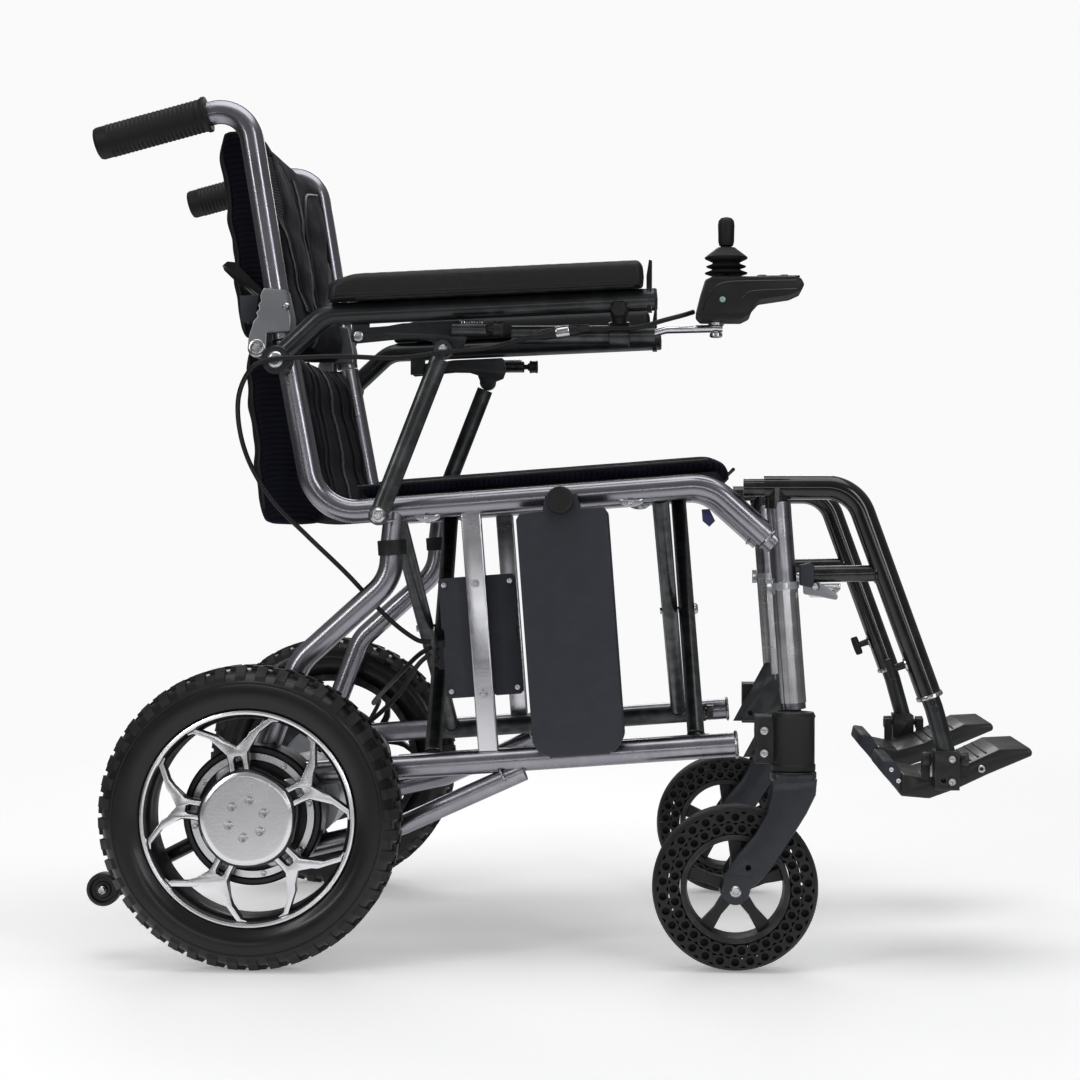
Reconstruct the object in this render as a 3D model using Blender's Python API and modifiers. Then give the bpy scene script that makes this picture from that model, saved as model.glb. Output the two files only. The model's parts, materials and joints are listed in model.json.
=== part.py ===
"""Side-folding power wheelchair, in metres. +X is forward, -Y is the user's right, +Z is up."""
import math

import bmesh
import bpy
from mathutils import Matrix, Vector

# ---- driving sizes ---------------------------------------------------------------------------
GAP = 0.0005                     # clearance between pieces that seat on each other
FRAME_Y = 0.215                  # centre plane of each side frame, out from the middle
TUBE_R = 0.0125                  # frame tube radius
LUG_HALF = TUBE_R * 0.48         # half thickness of the back hinge's lug
FRAME_PITCH = math.radians(4.4)  # the rails climb this much towards the front
SEAT_RAIL_H = 0.4815             # seat rail, measured square to the rails
LOWER_RAIL_H = 0.2128            # lower rail, measured square to the rails
FRONT_POST_S = 0.2645            # front post, measured along the rails
POST_TOP_H = SEAT_RAIL_H - 0.011 - TUBE_R
PIN_R = TUBE_R - 0.0042          # hanger pin, in the front post's socket
PIN_FOOT_H = POST_TOP_H - 0.022
UPRIGHT_S = -0.053               # flat upright between the rails
RECLINE = math.radians(10.6)     # lower back post, from vertical
UPPER_RECLINE = math.radians(9.3)
BEND_R = 0.050                   # bend radius of the frame tubes
HANDLE_BEND_R = 0.034

REAR_WHEEL_X = -0.3095
REAR_WHEEL_R = 0.155
REAR_TYRE_W = 0.058
RIM_R = REAR_WHEEL_R - 0.045
MOTOR_R = 0.072
MOTOR_LENGTH = 0.086             # inboard canister
ANTI_TIP_X, ANTI_TIP_Z = -0.4722, 0.072
ANTI_TIP_R = 0.0175
CASTER_X = 0.2435                # caster stem
CASTER_Y = FRAME_Y + 0.020
CASTER_R = 0.0845
CASTER_TYRE_W = 0.042
CASTER_TRAIL = 0.059
CASTER_HOUSING_R = 0.0225

BRACE_R = 0.011
BRACE_BAR_R = 0.009
BRACE_GAP = 0.0015
BRACE_REAR_S, BRACE_FRONT_S = -0.125, 0.153
BRACE_BACK_END_S, BRACE_FRONT_END_S = -0.150, 0.176

HINGE_X, HINGE_Z = -0.3105, 0.636    # half-fold hinge pin of the back
ARM_R = 0.0115
ARM_GAP = 0.009
ARM_PIVOT_X, ARM_PIVOT_Z = -0.2855, 0.622
ARM_LINK_X, ARM_LINK_Z = -0.2015, 0.647     # link plate on the armrest
STRUT_TOP_X, STRUT_TOP_Z = -0.1135, 0.632
STRUT_FOOT_X, STRUT_FOOT_Z = -0.1795, 0.463
ARM_FRONT_X = 0.1015
ARM_FRONT_Z = 0.683
PAD_LENGTH = 0.322
PAD_WIDTH = 0.043
PAD_THICK = 0.025
RAIL_Z = 0.647                   # joystick mounting rail
RAIL_R = 0.0095

FOOTPLATE_W = 0.128
SEAT_HALF_W = FRAME_Y - 0.0145
COVER_HALF_W = FRAME_Y - 0.024
SEAT_THICK = 0.019
BATTERY_THICK = 0.038
BATTERY_BACK_S, BATTERY_FRONT_S = -0.003, 0.090
LEAD_R = 0.0025

# ---- places that follow from them ------------------------------------------------------------
BRACE_Y = FRAME_Y - TUBE_R - BRACE_GAP - BRACE_R
ARM_Y = FRAME_Y + TUBE_R + ARM_GAP + ARM_R
WHEEL_IN_Y = FRAME_Y + TUBE_R + 0.0085
WHEEL_Y = WHEEL_IN_Y + REAR_TYRE_W / 2
PLATE_THICK = 0.0044
STRUT_THICK = 0.010
STRUT_Y = ARM_Y + PLATE_THICK / 2 + GAP + 0.0005 + STRUT_THICK / 2
PLUNGER_Y = ARM_Y + 0.0165
CASTER_WHEEL_X = CASTER_X - CASTER_TRAIL

COLORS = {
    "aluminium": ((0.42, 0.42, 0.45), 0.35, 0.9),
    "cast_grey": ((0.30, 0.31, 0.33), 0.5, 0.8),
    "charcoal": ((0.08, 0.085, 0.09), 0.35, 0.6),
    "black_gloss": ((0.015, 0.015, 0.017), 0.15, 0.3),
    "black_plastic": ((0.02, 0.02, 0.022), 0.5, 0.0),
    "tyre_rubber": ((0.018, 0.018, 0.019), 0.75, 0.0),
    "machined": ((0.75, 0.75, 0.77), 0.25, 1.0),
    "leather": ((0.02, 0.02, 0.02), 0.55, 0.0),
    "mesh_fabric": ((0.012, 0.013, 0.03), 0.9, 0.0),
    "slate": ((0.10, 0.11, 0.14), 0.5, 0.2),
}

collection = None


# ---- helpers ---------------------------------------------------------------------------------
def clear_scene():
    for item in list(bpy.data.objects):
        bpy.data.objects.remove(item, do_unlink=True)


def material(name):
    found = bpy.data.materials.get(name)
    if found:
        return found
    color, rough, metal = COLORS[name]
    made = bpy.data.materials.new(name)
    made.use_nodes = True
    shader = made.node_tree.nodes["Principled BSDF"]
    shader.inputs["Base Color"].default_value = (*color, 1)
    shader.inputs["Roughness"].default_value = rough
    shader.inputs["Metallic"].default_value = metal
    return made


def railwise(s, h):
    """World (x, z) of a point s along the rails and h square to them."""
    c, k = math.cos(FRAME_PITCH), math.sin(FRAME_PITCH)
    return s * c - h * k, s * k + h * c


def rounded(points, radius, steps=3):
    """The points, with each inner corner turned into an arc."""
    points = [Vector(p) for p in points]
    out = [points[0]]
    for before, corner, after in zip(points, points[1:], points[2:]):
        u, v = (before - corner).normalized(), (after - corner).normalized()
        half = u.angle(v) / 2
        reach = min(radius / math.tan(half), 0.48 * (before - corner).length,
                    0.48 * (after - corner).length)
        r = reach * math.tan(half)
        centre = corner + (u + v).normalized() * (r / math.sin(half))
        start, end = corner + u * reach - centre, corner + v * reach - centre
        sweep = start.angle(end)
        for i in range(steps + 1):
            k = i / steps
            a, b = math.sin((1 - k) * sweep), math.sin(k * sweep)
            out.append(centre + (start * a + end * b) / math.sin(sweep))
    out.append(points[-1])
    return out


def adopt(mesh, name, color):
    """A new object from a mesh, its loose caps welded and its faces turned outwards."""
    work = bmesh.new()
    work.from_mesh(mesh)
    bmesh.ops.remove_doubles(work, verts=work.verts, dist=0.00001)
    bmesh.ops.recalc_face_normals(work, faces=work.faces)
    work.to_mesh(mesh)
    work.free()
    mesh.name = name
    item = bpy.data.objects.new(name, mesh)
    collection.objects.link(item)
    mesh.materials.clear()
    mesh.materials.append(material(color))
    return item


def from_curve(curve, name, color, matrix=Matrix()):
    holder = bpy.data.objects.new(name + "_curve", curve)
    collection.objects.link(holder)
    holder.matrix_world = matrix
    seen = holder.evaluated_get(bpy.context.evaluated_depsgraph_get())
    mesh = bpy.data.meshes.new_from_object(seen)
    mesh.transform(matrix)
    bpy.data.objects.remove(holder, do_unlink=True)
    return adopt(mesh, name, color)


def tube(name, points, radius, color="aluminium", resolution=2):
    curve = bpy.data.curves.new(name, "CURVE")
    curve.dimensions = "3D"
    curve.bevel_depth = radius
    curve.bevel_resolution = resolution
    curve.use_fill_caps = True
    line = curve.splines.new("POLY")
    line.points.add(len(points) - 1)
    for spot, p in zip(line.points, points):
        spot.co = (*p, 1)
    return from_curve(curve, name, color)


def side_tube(name, side, route, radius, y=FRAME_Y, bend=BEND_R, color="aluminium",
              resolution=2):
    points = [(x, side * y, z) for x, z in route]
    return tube(name, rounded(points, bend), radius, color, resolution)


def slab(name, outline, y_from, y_to, color="aluminium"):
    """A flat piece: an (x, z) outline, from one y to another."""
    curve = bpy.data.curves.new(name, "CURVE")
    curve.dimensions = "2D"
    curve.fill_mode = "BOTH"
    curve.extrude = abs(y_to - y_from) / 2
    line = curve.splines.new("POLY")
    line.points.add(len(outline) - 1)
    line.use_cyclic_u = True
    for spot, p in zip(line.points, outline):
        spot.co = (p[0], p[1], 0, 1)
    place = Matrix.Translation((0, (y_from + y_to) / 2, 0)) @ Matrix.Rotation(math.pi / 2, 4, "X")
    return from_curve(curve, name, color, place)


def rod(name, start, end, radius, color="machined", segments=12, end_radius=None):
    """A round bar or cone between two points."""
    start, end = Vector(start), Vector(end)
    work = bmesh.new()
    bmesh.ops.create_cone(work, cap_ends=True, segments=segments, radius1=radius,
                          radius2=radius if end_radius is None else end_radius,
                          depth=(end - start).length)
    turn = (end - start).to_track_quat("Z", "Y").to_matrix().to_4x4()
    bmesh.ops.transform(work, matrix=Matrix.Translation((start + end) / 2) @ turn,
                        verts=work.verts)
    mesh = bpy.data.meshes.new(name)
    work.to_mesh(mesh)
    work.free()
    return adopt(mesh, name, color)


def box(name, low, high, color="aluminium"):
    low, high = Vector(low), Vector(high)
    low, high = [Vector(f(a, b) for a, b in zip(low, high)) for f in (min, max)]
    work = bmesh.new()
    bmesh.ops.create_cube(work, size=1)
    bmesh.ops.transform(work, matrix=Matrix.Translation((low + high) / 2)
                        @ Matrix.Diagonal((*(high - low), 1)), verts=work.verts)
    mesh = bpy.data.meshes.new(name)
    work.to_mesh(mesh)
    work.free()
    return adopt(mesh, name, color)


def turned(name, profile, centre, axis, color, steps=32):
    """A closed (radius, height) profile turned about an axis through centre."""
    mesh = bpy.data.meshes.new(name)
    count = len(profile)
    mesh.from_pydata([(r, 0, h) for r, h in profile],
                     [(i, (i + 1) % count) for i in range(count)], [])
    holder = bpy.data.objects.new(name + "_profile", mesh)
    collection.objects.link(holder)
    screw = holder.modifiers.new("turn", "SCREW")
    screw.steps = screw.render_steps = steps
    screw.use_merge_vertices = True
    screw.merge_threshold = 0.00005
    made = bpy.data.meshes.new_from_object(
        holder.evaluated_get(bpy.context.evaluated_depsgraph_get()))
    bpy.data.objects.remove(holder, do_unlink=True)
    turn = Vector(axis).to_track_quat("Z", "Y").to_matrix().to_4x4()
    made.transform(Matrix.Translation(centre) @ turn)
    return adopt(made, name, color)


def boolean(target, tool, operation):
    """Join the tool to the target, or cut the target with it, and drop the tool."""
    step = target.modifiers.new(operation.lower(), "BOOLEAN")
    step.operation = operation
    step.solver = "EXACT"
    step.object = tool
    bpy.context.view_layer.update()
    made = bpy.data.meshes.new_from_object(
        target.evaluated_get(bpy.context.evaluated_depsgraph_get()))
    target.modifiers.clear()
    target.data = made
    bpy.data.objects.remove(tool, do_unlink=True)
    return target


def fuse(target, *tools):
    for tool in tools:
        boolean(target, tool, "UNION")
    return target


def cut(target, *tools):
    for tool in tools:
        boolean(target, tool, "DIFFERENCE")
    return target


def arc(cx, cz, radius, from_deg, to_deg, steps):
    """Points (x, z) along an arc."""
    out = []
    for i in range(steps + 1):
        a = math.radians(from_deg + (to_deg - from_deg) * i / steps)
        out.append((cx + radius * math.cos(a), cz + radius * math.sin(a)))
    return out


def cross_rod(name, side, x, z, y_from, y_to, radius, color="machined", segments=12):
    """A round bar square to the side frame."""
    return rod(name, (x, side * y_from, z), (x, side * y_to, z), radius, color, segments)


# ---- side frame ------------------------------------------------------------------------------
def seat_rail_z(x):
    return SEAT_RAIL_H / math.cos(FRAME_PITCH) + x * math.tan(FRAME_PITCH)


def post_x(z):
    """Centre of the lower back post at a height."""
    return HINGE_X + 0.027 + (HINGE_Z + 0.004 - z) * math.tan(RECLINE)


def side_frame(side, tag):
    split = HINGE_Z + 0.0085
    corner_x = post_x(SEAT_RAIL_H - 0.018)
    front_bend = 0.158
    post_low, post_high = railwise(FRONT_POST_S, 0.2455), railwise(FRONT_POST_S, POST_TOP_H)
    meet_z = seat_rail_z(front_bend) - (post_high[0] - front_bend) * math.tan(math.radians(42))
    frame = side_tube("side_frame_" + tag, side, [
        (post_x(split), split), (corner_x, seat_rail_z(corner_x)),
        (front_bend, seat_rail_z(front_bend)), (post_high[0], meet_z)], TUBE_R)
    post = rod("post", (post_low[0], side * FRAME_Y, post_low[1]),
               (post_high[0], side * FRAME_Y, post_high[1]), TUBE_R, segments=16)
    socket_low, socket_high = railwise(FRONT_POST_S, PIN_FOOT_H - 0.004), railwise(FRONT_POST_S, 0.50)
    socket = rod("socket", (socket_low[0], side * FRAME_Y, socket_low[1]),
                 (socket_high[0], side * FRAME_Y, socket_high[1]), PIN_R + 0.0007, segments=16)
    rail_start = railwise(0.205, LOWER_RAIL_H)
    rail_end = (REAR_WHEEL_X + 0.045, REAR_WHEEL_R + 0.038)
    lower = side_tube("lower", side, [rail_start, railwise(-0.160, LOWER_RAIL_H), rail_end], TUBE_R)
    leg = side_tube("leg", side, [
        railwise(-0.131, SEAT_RAIL_H - 0.004), railwise(-0.1365, 0.4488), railwise(-0.142, 0.408),
        railwise(-0.2428, 0.3306), (REAR_WHEEL_X, REAR_WHEEL_R + 0.045)], TUBE_R)
    arm = side_tube("arm", side, [railwise(-0.018, LOWER_RAIL_H - 0.012), (-0.1625, REAR_WHEEL_R - 0.015),
                                  (REAR_WHEEL_X + 0.045, REAR_WHEEL_R - 0.040)], 0.0105)
    top, foot = railwise(UPRIGHT_S, SEAT_RAIL_H), railwise(UPRIGHT_S, LOWER_RAIL_H)
    upright = slab("upright", [
        (top[0] - 0.011, top[1]), (foot[0] - 0.011, foot[1]), (foot[0] + 0.011, foot[1]),
        (top[0] + 0.011, top[1])], side * (FRAME_Y - 0.006), side * (FRAME_Y + 0.006))
    plate_half = TUBE_R - 0.0003
    plate = cross_rod("plate", side, REAR_WHEEL_X, REAR_WHEEL_R, FRAME_Y - plate_half,
                      FRAME_Y + plate_half, 0.070, segments=20)
    hole = cross_rod("hole", side, REAR_WHEEL_X, REAR_WHEEL_R, FRAME_Y - 0.03,
                     FRAME_Y + 0.03, 0.0315, segments=16)
    tip_arm = rod("tip_arm", (REAR_WHEEL_X - 0.045, side * (FRAME_Y - 0.006), REAR_WHEEL_R - 0.0226),
                  (ANTI_TIP_X, side * (FRAME_Y - 0.006), ANTI_TIP_Z), 0.008)
    tip_boss = cross_rod("tip_boss", side, ANTI_TIP_X, ANTI_TIP_Z, FRAME_Y - 0.0145, FRAME_Y + 0.0015, 0.0105)
    tip_pin = cross_rod("tip_pin", side, ANTI_TIP_X, ANTI_TIP_Z, FRAME_Y, FRAME_Y + 0.0195, 0.003)
    gusset = slab("gusset", [
        (CASTER_X - 0.050, 0.214), (CASTER_X + 0.004, 0.214), (CASTER_X + 0.012, 0.285),
        (CASTER_X - 0.012, 0.285)], side * (FRAME_Y - TUBE_R + 0.0002), side * (FRAME_Y - 0.0085))
    arm_pin = cross_rod("arm_pin", side, ARM_PIVOT_X, ARM_PIVOT_Z, FRAME_Y + 0.006,
                        ARM_Y + 0.014, 0.005)
    arm_head = cross_rod("arm_head", side, ARM_PIVOT_X, ARM_PIVOT_Z, ARM_Y + 0.0131,
                         ARM_Y + 0.0165, 0.009)
    foot_pin = cross_rod("foot_pin", side, STRUT_FOOT_X, STRUT_FOOT_Z, FRAME_Y,
                         STRUT_Y + 0.0065, 0.004)
    foot_head = cross_rod("foot_head", side, STRUT_FOOT_X, STRUT_FOOT_Z, STRUT_Y + 0.0056,
                          STRUT_Y + 0.0096, 0.0085)
    lug_x = post_x(HINGE_Z)
    lug = slab("lug", [(lug_x, HINGE_Z + 0.005), (lug_x, HINGE_Z - 0.016)]
               + arc(HINGE_X, HINGE_Z, 0.009, 260, 100, 8),
               side * (FRAME_Y - LUG_HALF), side * (FRAME_Y + LUG_HALF))
    lug_hole = cross_rod("lug_hole", side, HINGE_X, HINGE_Z, FRAME_Y - 0.02, FRAME_Y + 0.02, 0.0046)
    fuse(frame, post, lower, leg, upright, plate, arm, gusset, tip_arm, tip_boss, tip_pin,
         arm_pin, arm_head, foot_pin, foot_head, lug)
    for end_s, sign in ((BRACE_BACK_END_S, -1), (BRACE_FRONT_END_S, 1)):
        x, z = railwise(end_s + sign * 0.0058, LOWER_RAIL_H)
        outer = FRAME_Y - TUBE_R / 2
        ear = box("ear", (x - 0.004, side * outer, z - 0.008),
                  (x + 0.004, side * (BRACE_Y - 0.008), z + 0.008))
        inner = railwise(end_s - sign * 0.016, LOWER_RAIL_H)
        journal = rod("journal", (x, side * BRACE_Y, z), (inner[0], side * BRACE_Y, inner[1]), 0.005)
        fuse(frame, ear, journal)
    return cut(frame, hole, socket, lug_hole)


def caster_housing(side, tag):
    low, high = 2 * CASTER_R + 0.035, 2 * CASTER_R + 0.0945
    body = rod("caster_housing_" + tag, (CASTER_X, side * CASTER_Y, low),
               (CASTER_X, side * CASTER_Y, high), CASTER_HOUSING_R, "black_plastic", 20)
    cheek = box("cheek", (CASTER_X - 0.0405, side * (FRAME_Y - 0.0075), low + 0.006),
                (CASTER_X - 0.006, side * (CASTER_Y + 0.0075), high - 0.003), "black_plastic")
    relief = box("relief", (CASTER_X - 0.06, side * (FRAME_Y - 0.03), low),
                 (CASTER_X - 0.0395, side * (FRAME_Y + 0.03), high))
    bore = rod("bore", (CASTER_X, side * CASTER_Y, low - 0.01),
               (CASTER_X, side * CASTER_Y, low + 0.040), 0.0066)
    return cut(fuse(body, cheek), relief, bore)


def motor(side, tag):
    x, z = REAR_WHEEL_X, REAR_WHEEL_R
    drum = cross_rod("motor_" + tag, side, x, z, FRAME_Y + TUBE_R + GAP, WHEEL_Y - 0.007,
                     MOTOR_R, "cast_grey", 28)
    neck = cross_rod("neck", side, x, z, FRAME_Y - TUBE_R - 0.004, FRAME_Y + TUBE_R + 0.004, 0.030)
    canister = cross_rod("canister", side, x + 0.040, z + 0.010, FRAME_Y - TUBE_R - 0.0006,
                         FRAME_Y - TUBE_R - MOTOR_LENGTH, 0.042, segments=24)
    back = cross_rod("back", side, x, z, FRAME_Y - TUBE_R - 0.0006, FRAME_Y - TUBE_R - 0.030, 0.050,
                     segments=24)
    axle = cross_rod("axle", side, x, z, FRAME_Y, WHEEL_Y + 0.0222, 0.008)
    return fuse(drum, neck, back, canister, axle)


# ---- back ------------------------------------------------------------------------------------
def upper_x(z):
    return HINGE_X + 0.026 - (z - HINGE_Z - 0.009) * math.tan(UPPER_RECLINE)


def back_post(side, tag):
    start = HINGE_Z + 0.0105
    corner_z = 0.8923
    end = (-0.4785, 0.8523)
    post = side_tube("back_post_" + tag, side,
                     [(upper_x(start), start), (upper_x(corner_z), corner_z), end], TUBE_R,
                     bend=HANDLE_BEND_R)
    casting = slab("casting", [
        (HINGE_X + 0.0355, HINGE_Z + 0.0155), (HINGE_X + 0.036, HINGE_Z + 0.032),
        (HINGE_X + 0.028, HINGE_Z + 0.061), (HINGE_X + 0.007, HINGE_Z + 0.063),
        (HINGE_X + 0.0005, HINGE_Z + 0.054), (HINGE_X - 0.005, HINGE_Z + 0.036),
        (HINGE_X - 0.0095, HINGE_Z + 0.014)] + arc(HINGE_X, HINGE_Z, 0.010, 180, 360, 6)
        + [(HINGE_X + 0.010, HINGE_Z + 0.0155)],
        side * (FRAME_Y - TUBE_R - 0.004), side * (FRAME_Y + TUBE_R + 0.004), "cast_grey")
    slot = box("slot", (HINGE_X - 0.03, side * (FRAME_Y - LUG_HALF - 0.0006), HINGE_Z - 0.02),
               (HINGE_X + 0.0101, side * (FRAME_Y + LUG_HALF + 0.0006), HINGE_Z + 0.0145))
    reach = TUBE_R + 0.0035
    pin = cross_rod("pin", side, HINGE_X, HINGE_Z, FRAME_Y - reach, FRAME_Y + reach, 0.004)
    return fuse(post, cut(casting, slot), pin)


def back_lever(side, tag):
    px, pz = HINGE_X + 0.008, HINGE_Z + 0.046
    blade = slab("back_lever_" + tag, arc(px, pz, 0.007, -110, 70, 6)
                 + [(px - 0.040, pz + 0.047), (px - 0.052, pz + 0.043), (px - 0.050, pz + 0.037)],
                 side * (FRAME_Y - TUBE_R - 0.0045), side * (FRAME_Y - TUBE_R - 0.0075), "charcoal")
    return blade


def grip(side, tag):
    flange, end = Vector((-0.3645, side * FRAME_Y, 0.882)), Vector((-0.4833, side * FRAME_Y, 0.8511))
    run = (end - flange).normalized()
    length = (end - flange).length
    r = TUBE_R + 0.0045
    profile = [(r + 0.0015, 0), (r + 0.0015, 0.006), (r, 0.010), (r, length - 0.004),
               (r - 0.004, length), (0, length), (0, length - 0.0035),
               (TUBE_R + 0.0008, length - 0.0035), (TUBE_R + 0.0008, 0)]
    return turned("grip_" + tag, list(reversed(profile)), flange, run, "tyre_rubber", 20)


# ---- armrest ---------------------------------------------------------------------------------
def arm_z(x):
    """Centre height of the armrest tube."""
    return ARM_FRONT_Z - (ARM_FRONT_X - x) * math.tan(math.radians(2.4))


def armrest_tube(side, tag):
    knee = ARM_PIVOT_X + 0.0495
    bar = side_tube("armrest_tube_" + tag, side, [
        (ARM_PIVOT_X, ARM_PIVOT_Z), (knee, arm_z(knee)), (ARM_FRONT_X, ARM_FRONT_Z)], ARM_R,
        y=ARM_Y, bend=0.035, color="charcoal")
    boss = cross_rod("boss", side, ARM_PIVOT_X, ARM_PIVOT_Z, ARM_Y - 0.0125, ARM_Y + 0.0125,
                     0.0145, segments=20)
    bore = cross_rod("bore", side, ARM_PIVOT_X, ARM_PIVOT_Z, ARM_Y - 0.02, ARM_Y + 0.02, 0.0056)
    ear = slab("ear", [(ARM_LINK_X - 0.008, arm_z(ARM_LINK_X)), (ARM_LINK_X - 0.008, ARM_LINK_Z - 0.006),
                       (ARM_LINK_X + 0.008, ARM_LINK_Z - 0.006), (ARM_LINK_X + 0.012, arm_z(ARM_LINK_X))],
               side * (ARM_Y - PLATE_THICK / 2 - GAP), side * (ARM_Y - PLATE_THICK / 2 - 0.0055))
    pin = cross_rod("pin", side, ARM_LINK_X, ARM_LINK_Z, ARM_Y - 0.006,
                    ARM_Y + PLATE_THICK / 2 + 0.0006, 0.0034)
    clamp_x = 0.0655
    clamp = box("clamp", (clamp_x - 0.011, side * (ARM_Y - 0.0125), RAIL_Z - 0.0125),
                (clamp_x + 0.011, side * (ARM_Y + 0.0125), arm_z(clamp_x)))
    clamp_bore = rod("clamp_bore", (clamp_x - 0.03, side * ARM_Y, RAIL_Z),
                     (clamp_x + 0.03, side * ARM_Y, RAIL_Z), RAIL_R + 0.0006, segments=16)
    fuse(bar, boss, ear, pin)
    if side < 0:
        fuse(bar, cut(clamp, clamp_bore))
    else:
        bpy.data.objects.remove(clamp, do_unlink=True)
        bpy.data.objects.remove(clamp_bore, do_unlink=True)
    return cut(bar, bore)


def armrest_pad(side, tag):
    front = ARM_FRONT_X - 0.011
    rear = front - PAD_LENGTH
    lift = ARM_R + 0.0006
    rise = math.tan(math.radians(2.4))
    top = PAD_THICK + lift
    outline = [(rear, arm_z(rear) + lift), (front - 0.006, arm_z(front) + lift - 0.006 * rise)]
    outline += [(front, arm_z(front) + lift + 0.006), (front, arm_z(front) + top - 0.006),
                (front - 0.006, arm_z(front) + top)]
    outline += [(rear + 0.008, arm_z(rear) + top + 0.002), (rear, arm_z(rear) + top - 0.006)]
    return slab("armrest_pad_" + tag, outline, side * (FRAME_Y + TUBE_R + 0.0055),
                side * (FRAME_Y + TUBE_R + 0.0055 + PAD_WIDTH), "leather")


def arm_plate(side, tag):
    bx, bz, cx, cz = ARM_LINK_X, ARM_LINK_Z, STRUT_TOP_X, STRUT_TOP_Z
    under = ARM_R + 0.0012
    outline = arc(bx, bz, 0.0075, 265, 130, 5)
    outline += [(bx + 0.004, arm_z(bx + 0.004) - under), (cx + 0.0215, arm_z(cx + 0.0215) - under)]
    outline += [(cx + 0.0235, cz + 0.016)] + arc(cx, cz, 0.010, -10, -100, 4)
    plate = slab("arm_plate_" + tag, outline, side * (ARM_Y - PLATE_THICK / 2),
                 side * (ARM_Y + PLATE_THICK / 2), "charcoal")
    bore = cross_rod("bore", side, bx, bz, ARM_Y - 0.01, ARM_Y + 0.01, 0.0040)
    # the plunger's barrel stands off the plate's front corner, outside the armrest tube
    px, pz = cx + 0.017, cz + 0.020
    bracket = box("bracket", (px - 0.004, side * ARM_Y, pz - 0.006),
                  (px + 0.004, side * (PLUNGER_Y - 0.003), pz + 0.004))
    barrel = rod("barrel", (px - 0.006, side * PLUNGER_Y, pz), (px + 0.028, side * PLUNGER_Y, pz),
                 0.0070, segments=16)
    hole = rod("hole", (px + 0.002, side * PLUNGER_Y, pz), (px + 0.04, side * PLUNGER_Y, pz),
               0.0036)
    return cut(fuse(plate, bracket, barrel), bore, hole)


def plunger(side, tag):
    px, pz = STRUT_TOP_X + 0.017, STRUT_TOP_Z + 0.020
    shank = rod("plunger_" + tag, (px + 0.0125, side * PLUNGER_Y, pz),
                (px + 0.036, side * PLUNGER_Y, pz), 0.0031)
    knob = rod("knob", (px + 0.0325, side * PLUNGER_Y, pz), (px + 0.045, side * PLUNGER_Y, pz),
               0.0080, "black_plastic", 16)
    return fuse(shank, knob)


def arm_strut(side, tag):
    top, foot = Vector((STRUT_TOP_X, STRUT_TOP_Z)), Vector((STRUT_FOOT_X, STRUT_FOOT_Z))
    run = (top - foot).normalized()
    across = Vector((run.y, -run.x))
    start = math.degrees(math.atan2(across.y, across.x))
    outline = arc(top.x, top.y, 0.0105, start, start + 180, 8)
    outline += arc(foot.x, foot.y, 0.0105, start + 180, start + 360, 8)
    bar = slab("arm_strut_" + tag, outline, side * (STRUT_Y - STRUT_THICK / 2),
               side * (STRUT_Y + STRUT_THICK / 2), "charcoal")
    bolt = cross_rod("bolt", side, top.x, top.y, STRUT_Y, STRUT_Y + STRUT_THICK / 2 + 0.003, 0.0065)
    bore = cross_rod("bore", side, foot.x, foot.y, STRUT_Y - 0.02, STRUT_Y + 0.0052, 0.0046)
    return cut(fuse(bar, bolt), bore)


# ---- wheels ----------------------------------------------------------------------------------
def rear_tyre(side, tag):
    half = REAR_TYRE_W / 2
    out, inside = REAR_WHEEL_R, RIM_R + GAP
    profile = [(inside, -half * 0.70), (inside, half * 0.70), (RIM_R + 0.018, half),
               (out - 0.013, half * 0.94), (out, half * 0.5),
               (out, -half * 0.5), (out - 0.013, -half * 0.94), (RIM_R + 0.018, -half)]
    return turned("rear_tyre_" + tag, profile, (REAR_WHEEL_X, side * WHEEL_Y, REAR_WHEEL_R),
                  (0, 1, 0), "tyre_rubber", 32)


def rear_rim(side, tag):
    half = REAR_TYRE_W / 2
    barrel_in = RIM_R - 0.008
    profile = [(barrel_in, -half * 0.8), (barrel_in, half * 0.70), (RIM_R, half * 0.70),
               (RIM_R, -half * 0.8)]
    centre = (REAR_WHEEL_X, side * WHEEL_Y, REAR_WHEEL_R)
    rim = turned("rear_rim_" + tag, profile, centre, (0, 1, 0), "machined", 24)
    hub_in = WHEEL_Y - 0.0045
    disc = cross_rod("disc", side, REAR_WHEEL_X, REAR_WHEEL_R, hub_in, WHEEL_Y + 0.025, 0.048,
                     segments=24)
    spokes = []
    for i in range(5):
        root = math.radians(99 - 72 * i)
        knee_r, fork = RIM_R * 0.618, math.radians(22)
        knee = Vector((math.cos(root), math.sin(root))) * knee_r
        ends = [Vector((math.cos(root + k * fork), math.sin(root + k * fork))) * (RIM_R - 0.0085)
                for k in (-1, 1)]
        near = Vector((math.cos(root), math.sin(root))) * 0.040
        for n, (a, b, w) in enumerate(((near, knee, 0.009), (knee, ends[0], 0.0055),
                                       (knee, ends[1], 0.0055))):
            run = (b - a).normalized()
            over = Vector((-run.y, run.x)) * w
            a, b = a - run * 0.003, b + run * 0.002
            outline = [(REAR_WHEEL_X + p.x, REAR_WHEEL_R + p.y)
                       for p in (a - over, b - over, b + over, a + over)]
            depth = 0.0002 * n
            spokes.append(slab("spoke", outline, side * (WHEEL_Y + 0.006 + depth),
                               side * (WHEEL_Y + 0.019 - depth)))
    bore = cross_rod("bore", side, REAR_WHEEL_X, REAR_WHEEL_R, FRAME_Y, WHEEL_Y + 0.023, 0.0084)
    pocket = cross_rod("pocket", side, REAR_WHEEL_X, REAR_WHEEL_R, FRAME_Y, WHEEL_Y - 0.003, 0.020)
    return cut(fuse(rim, disc, *spokes), bore, pocket)


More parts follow.
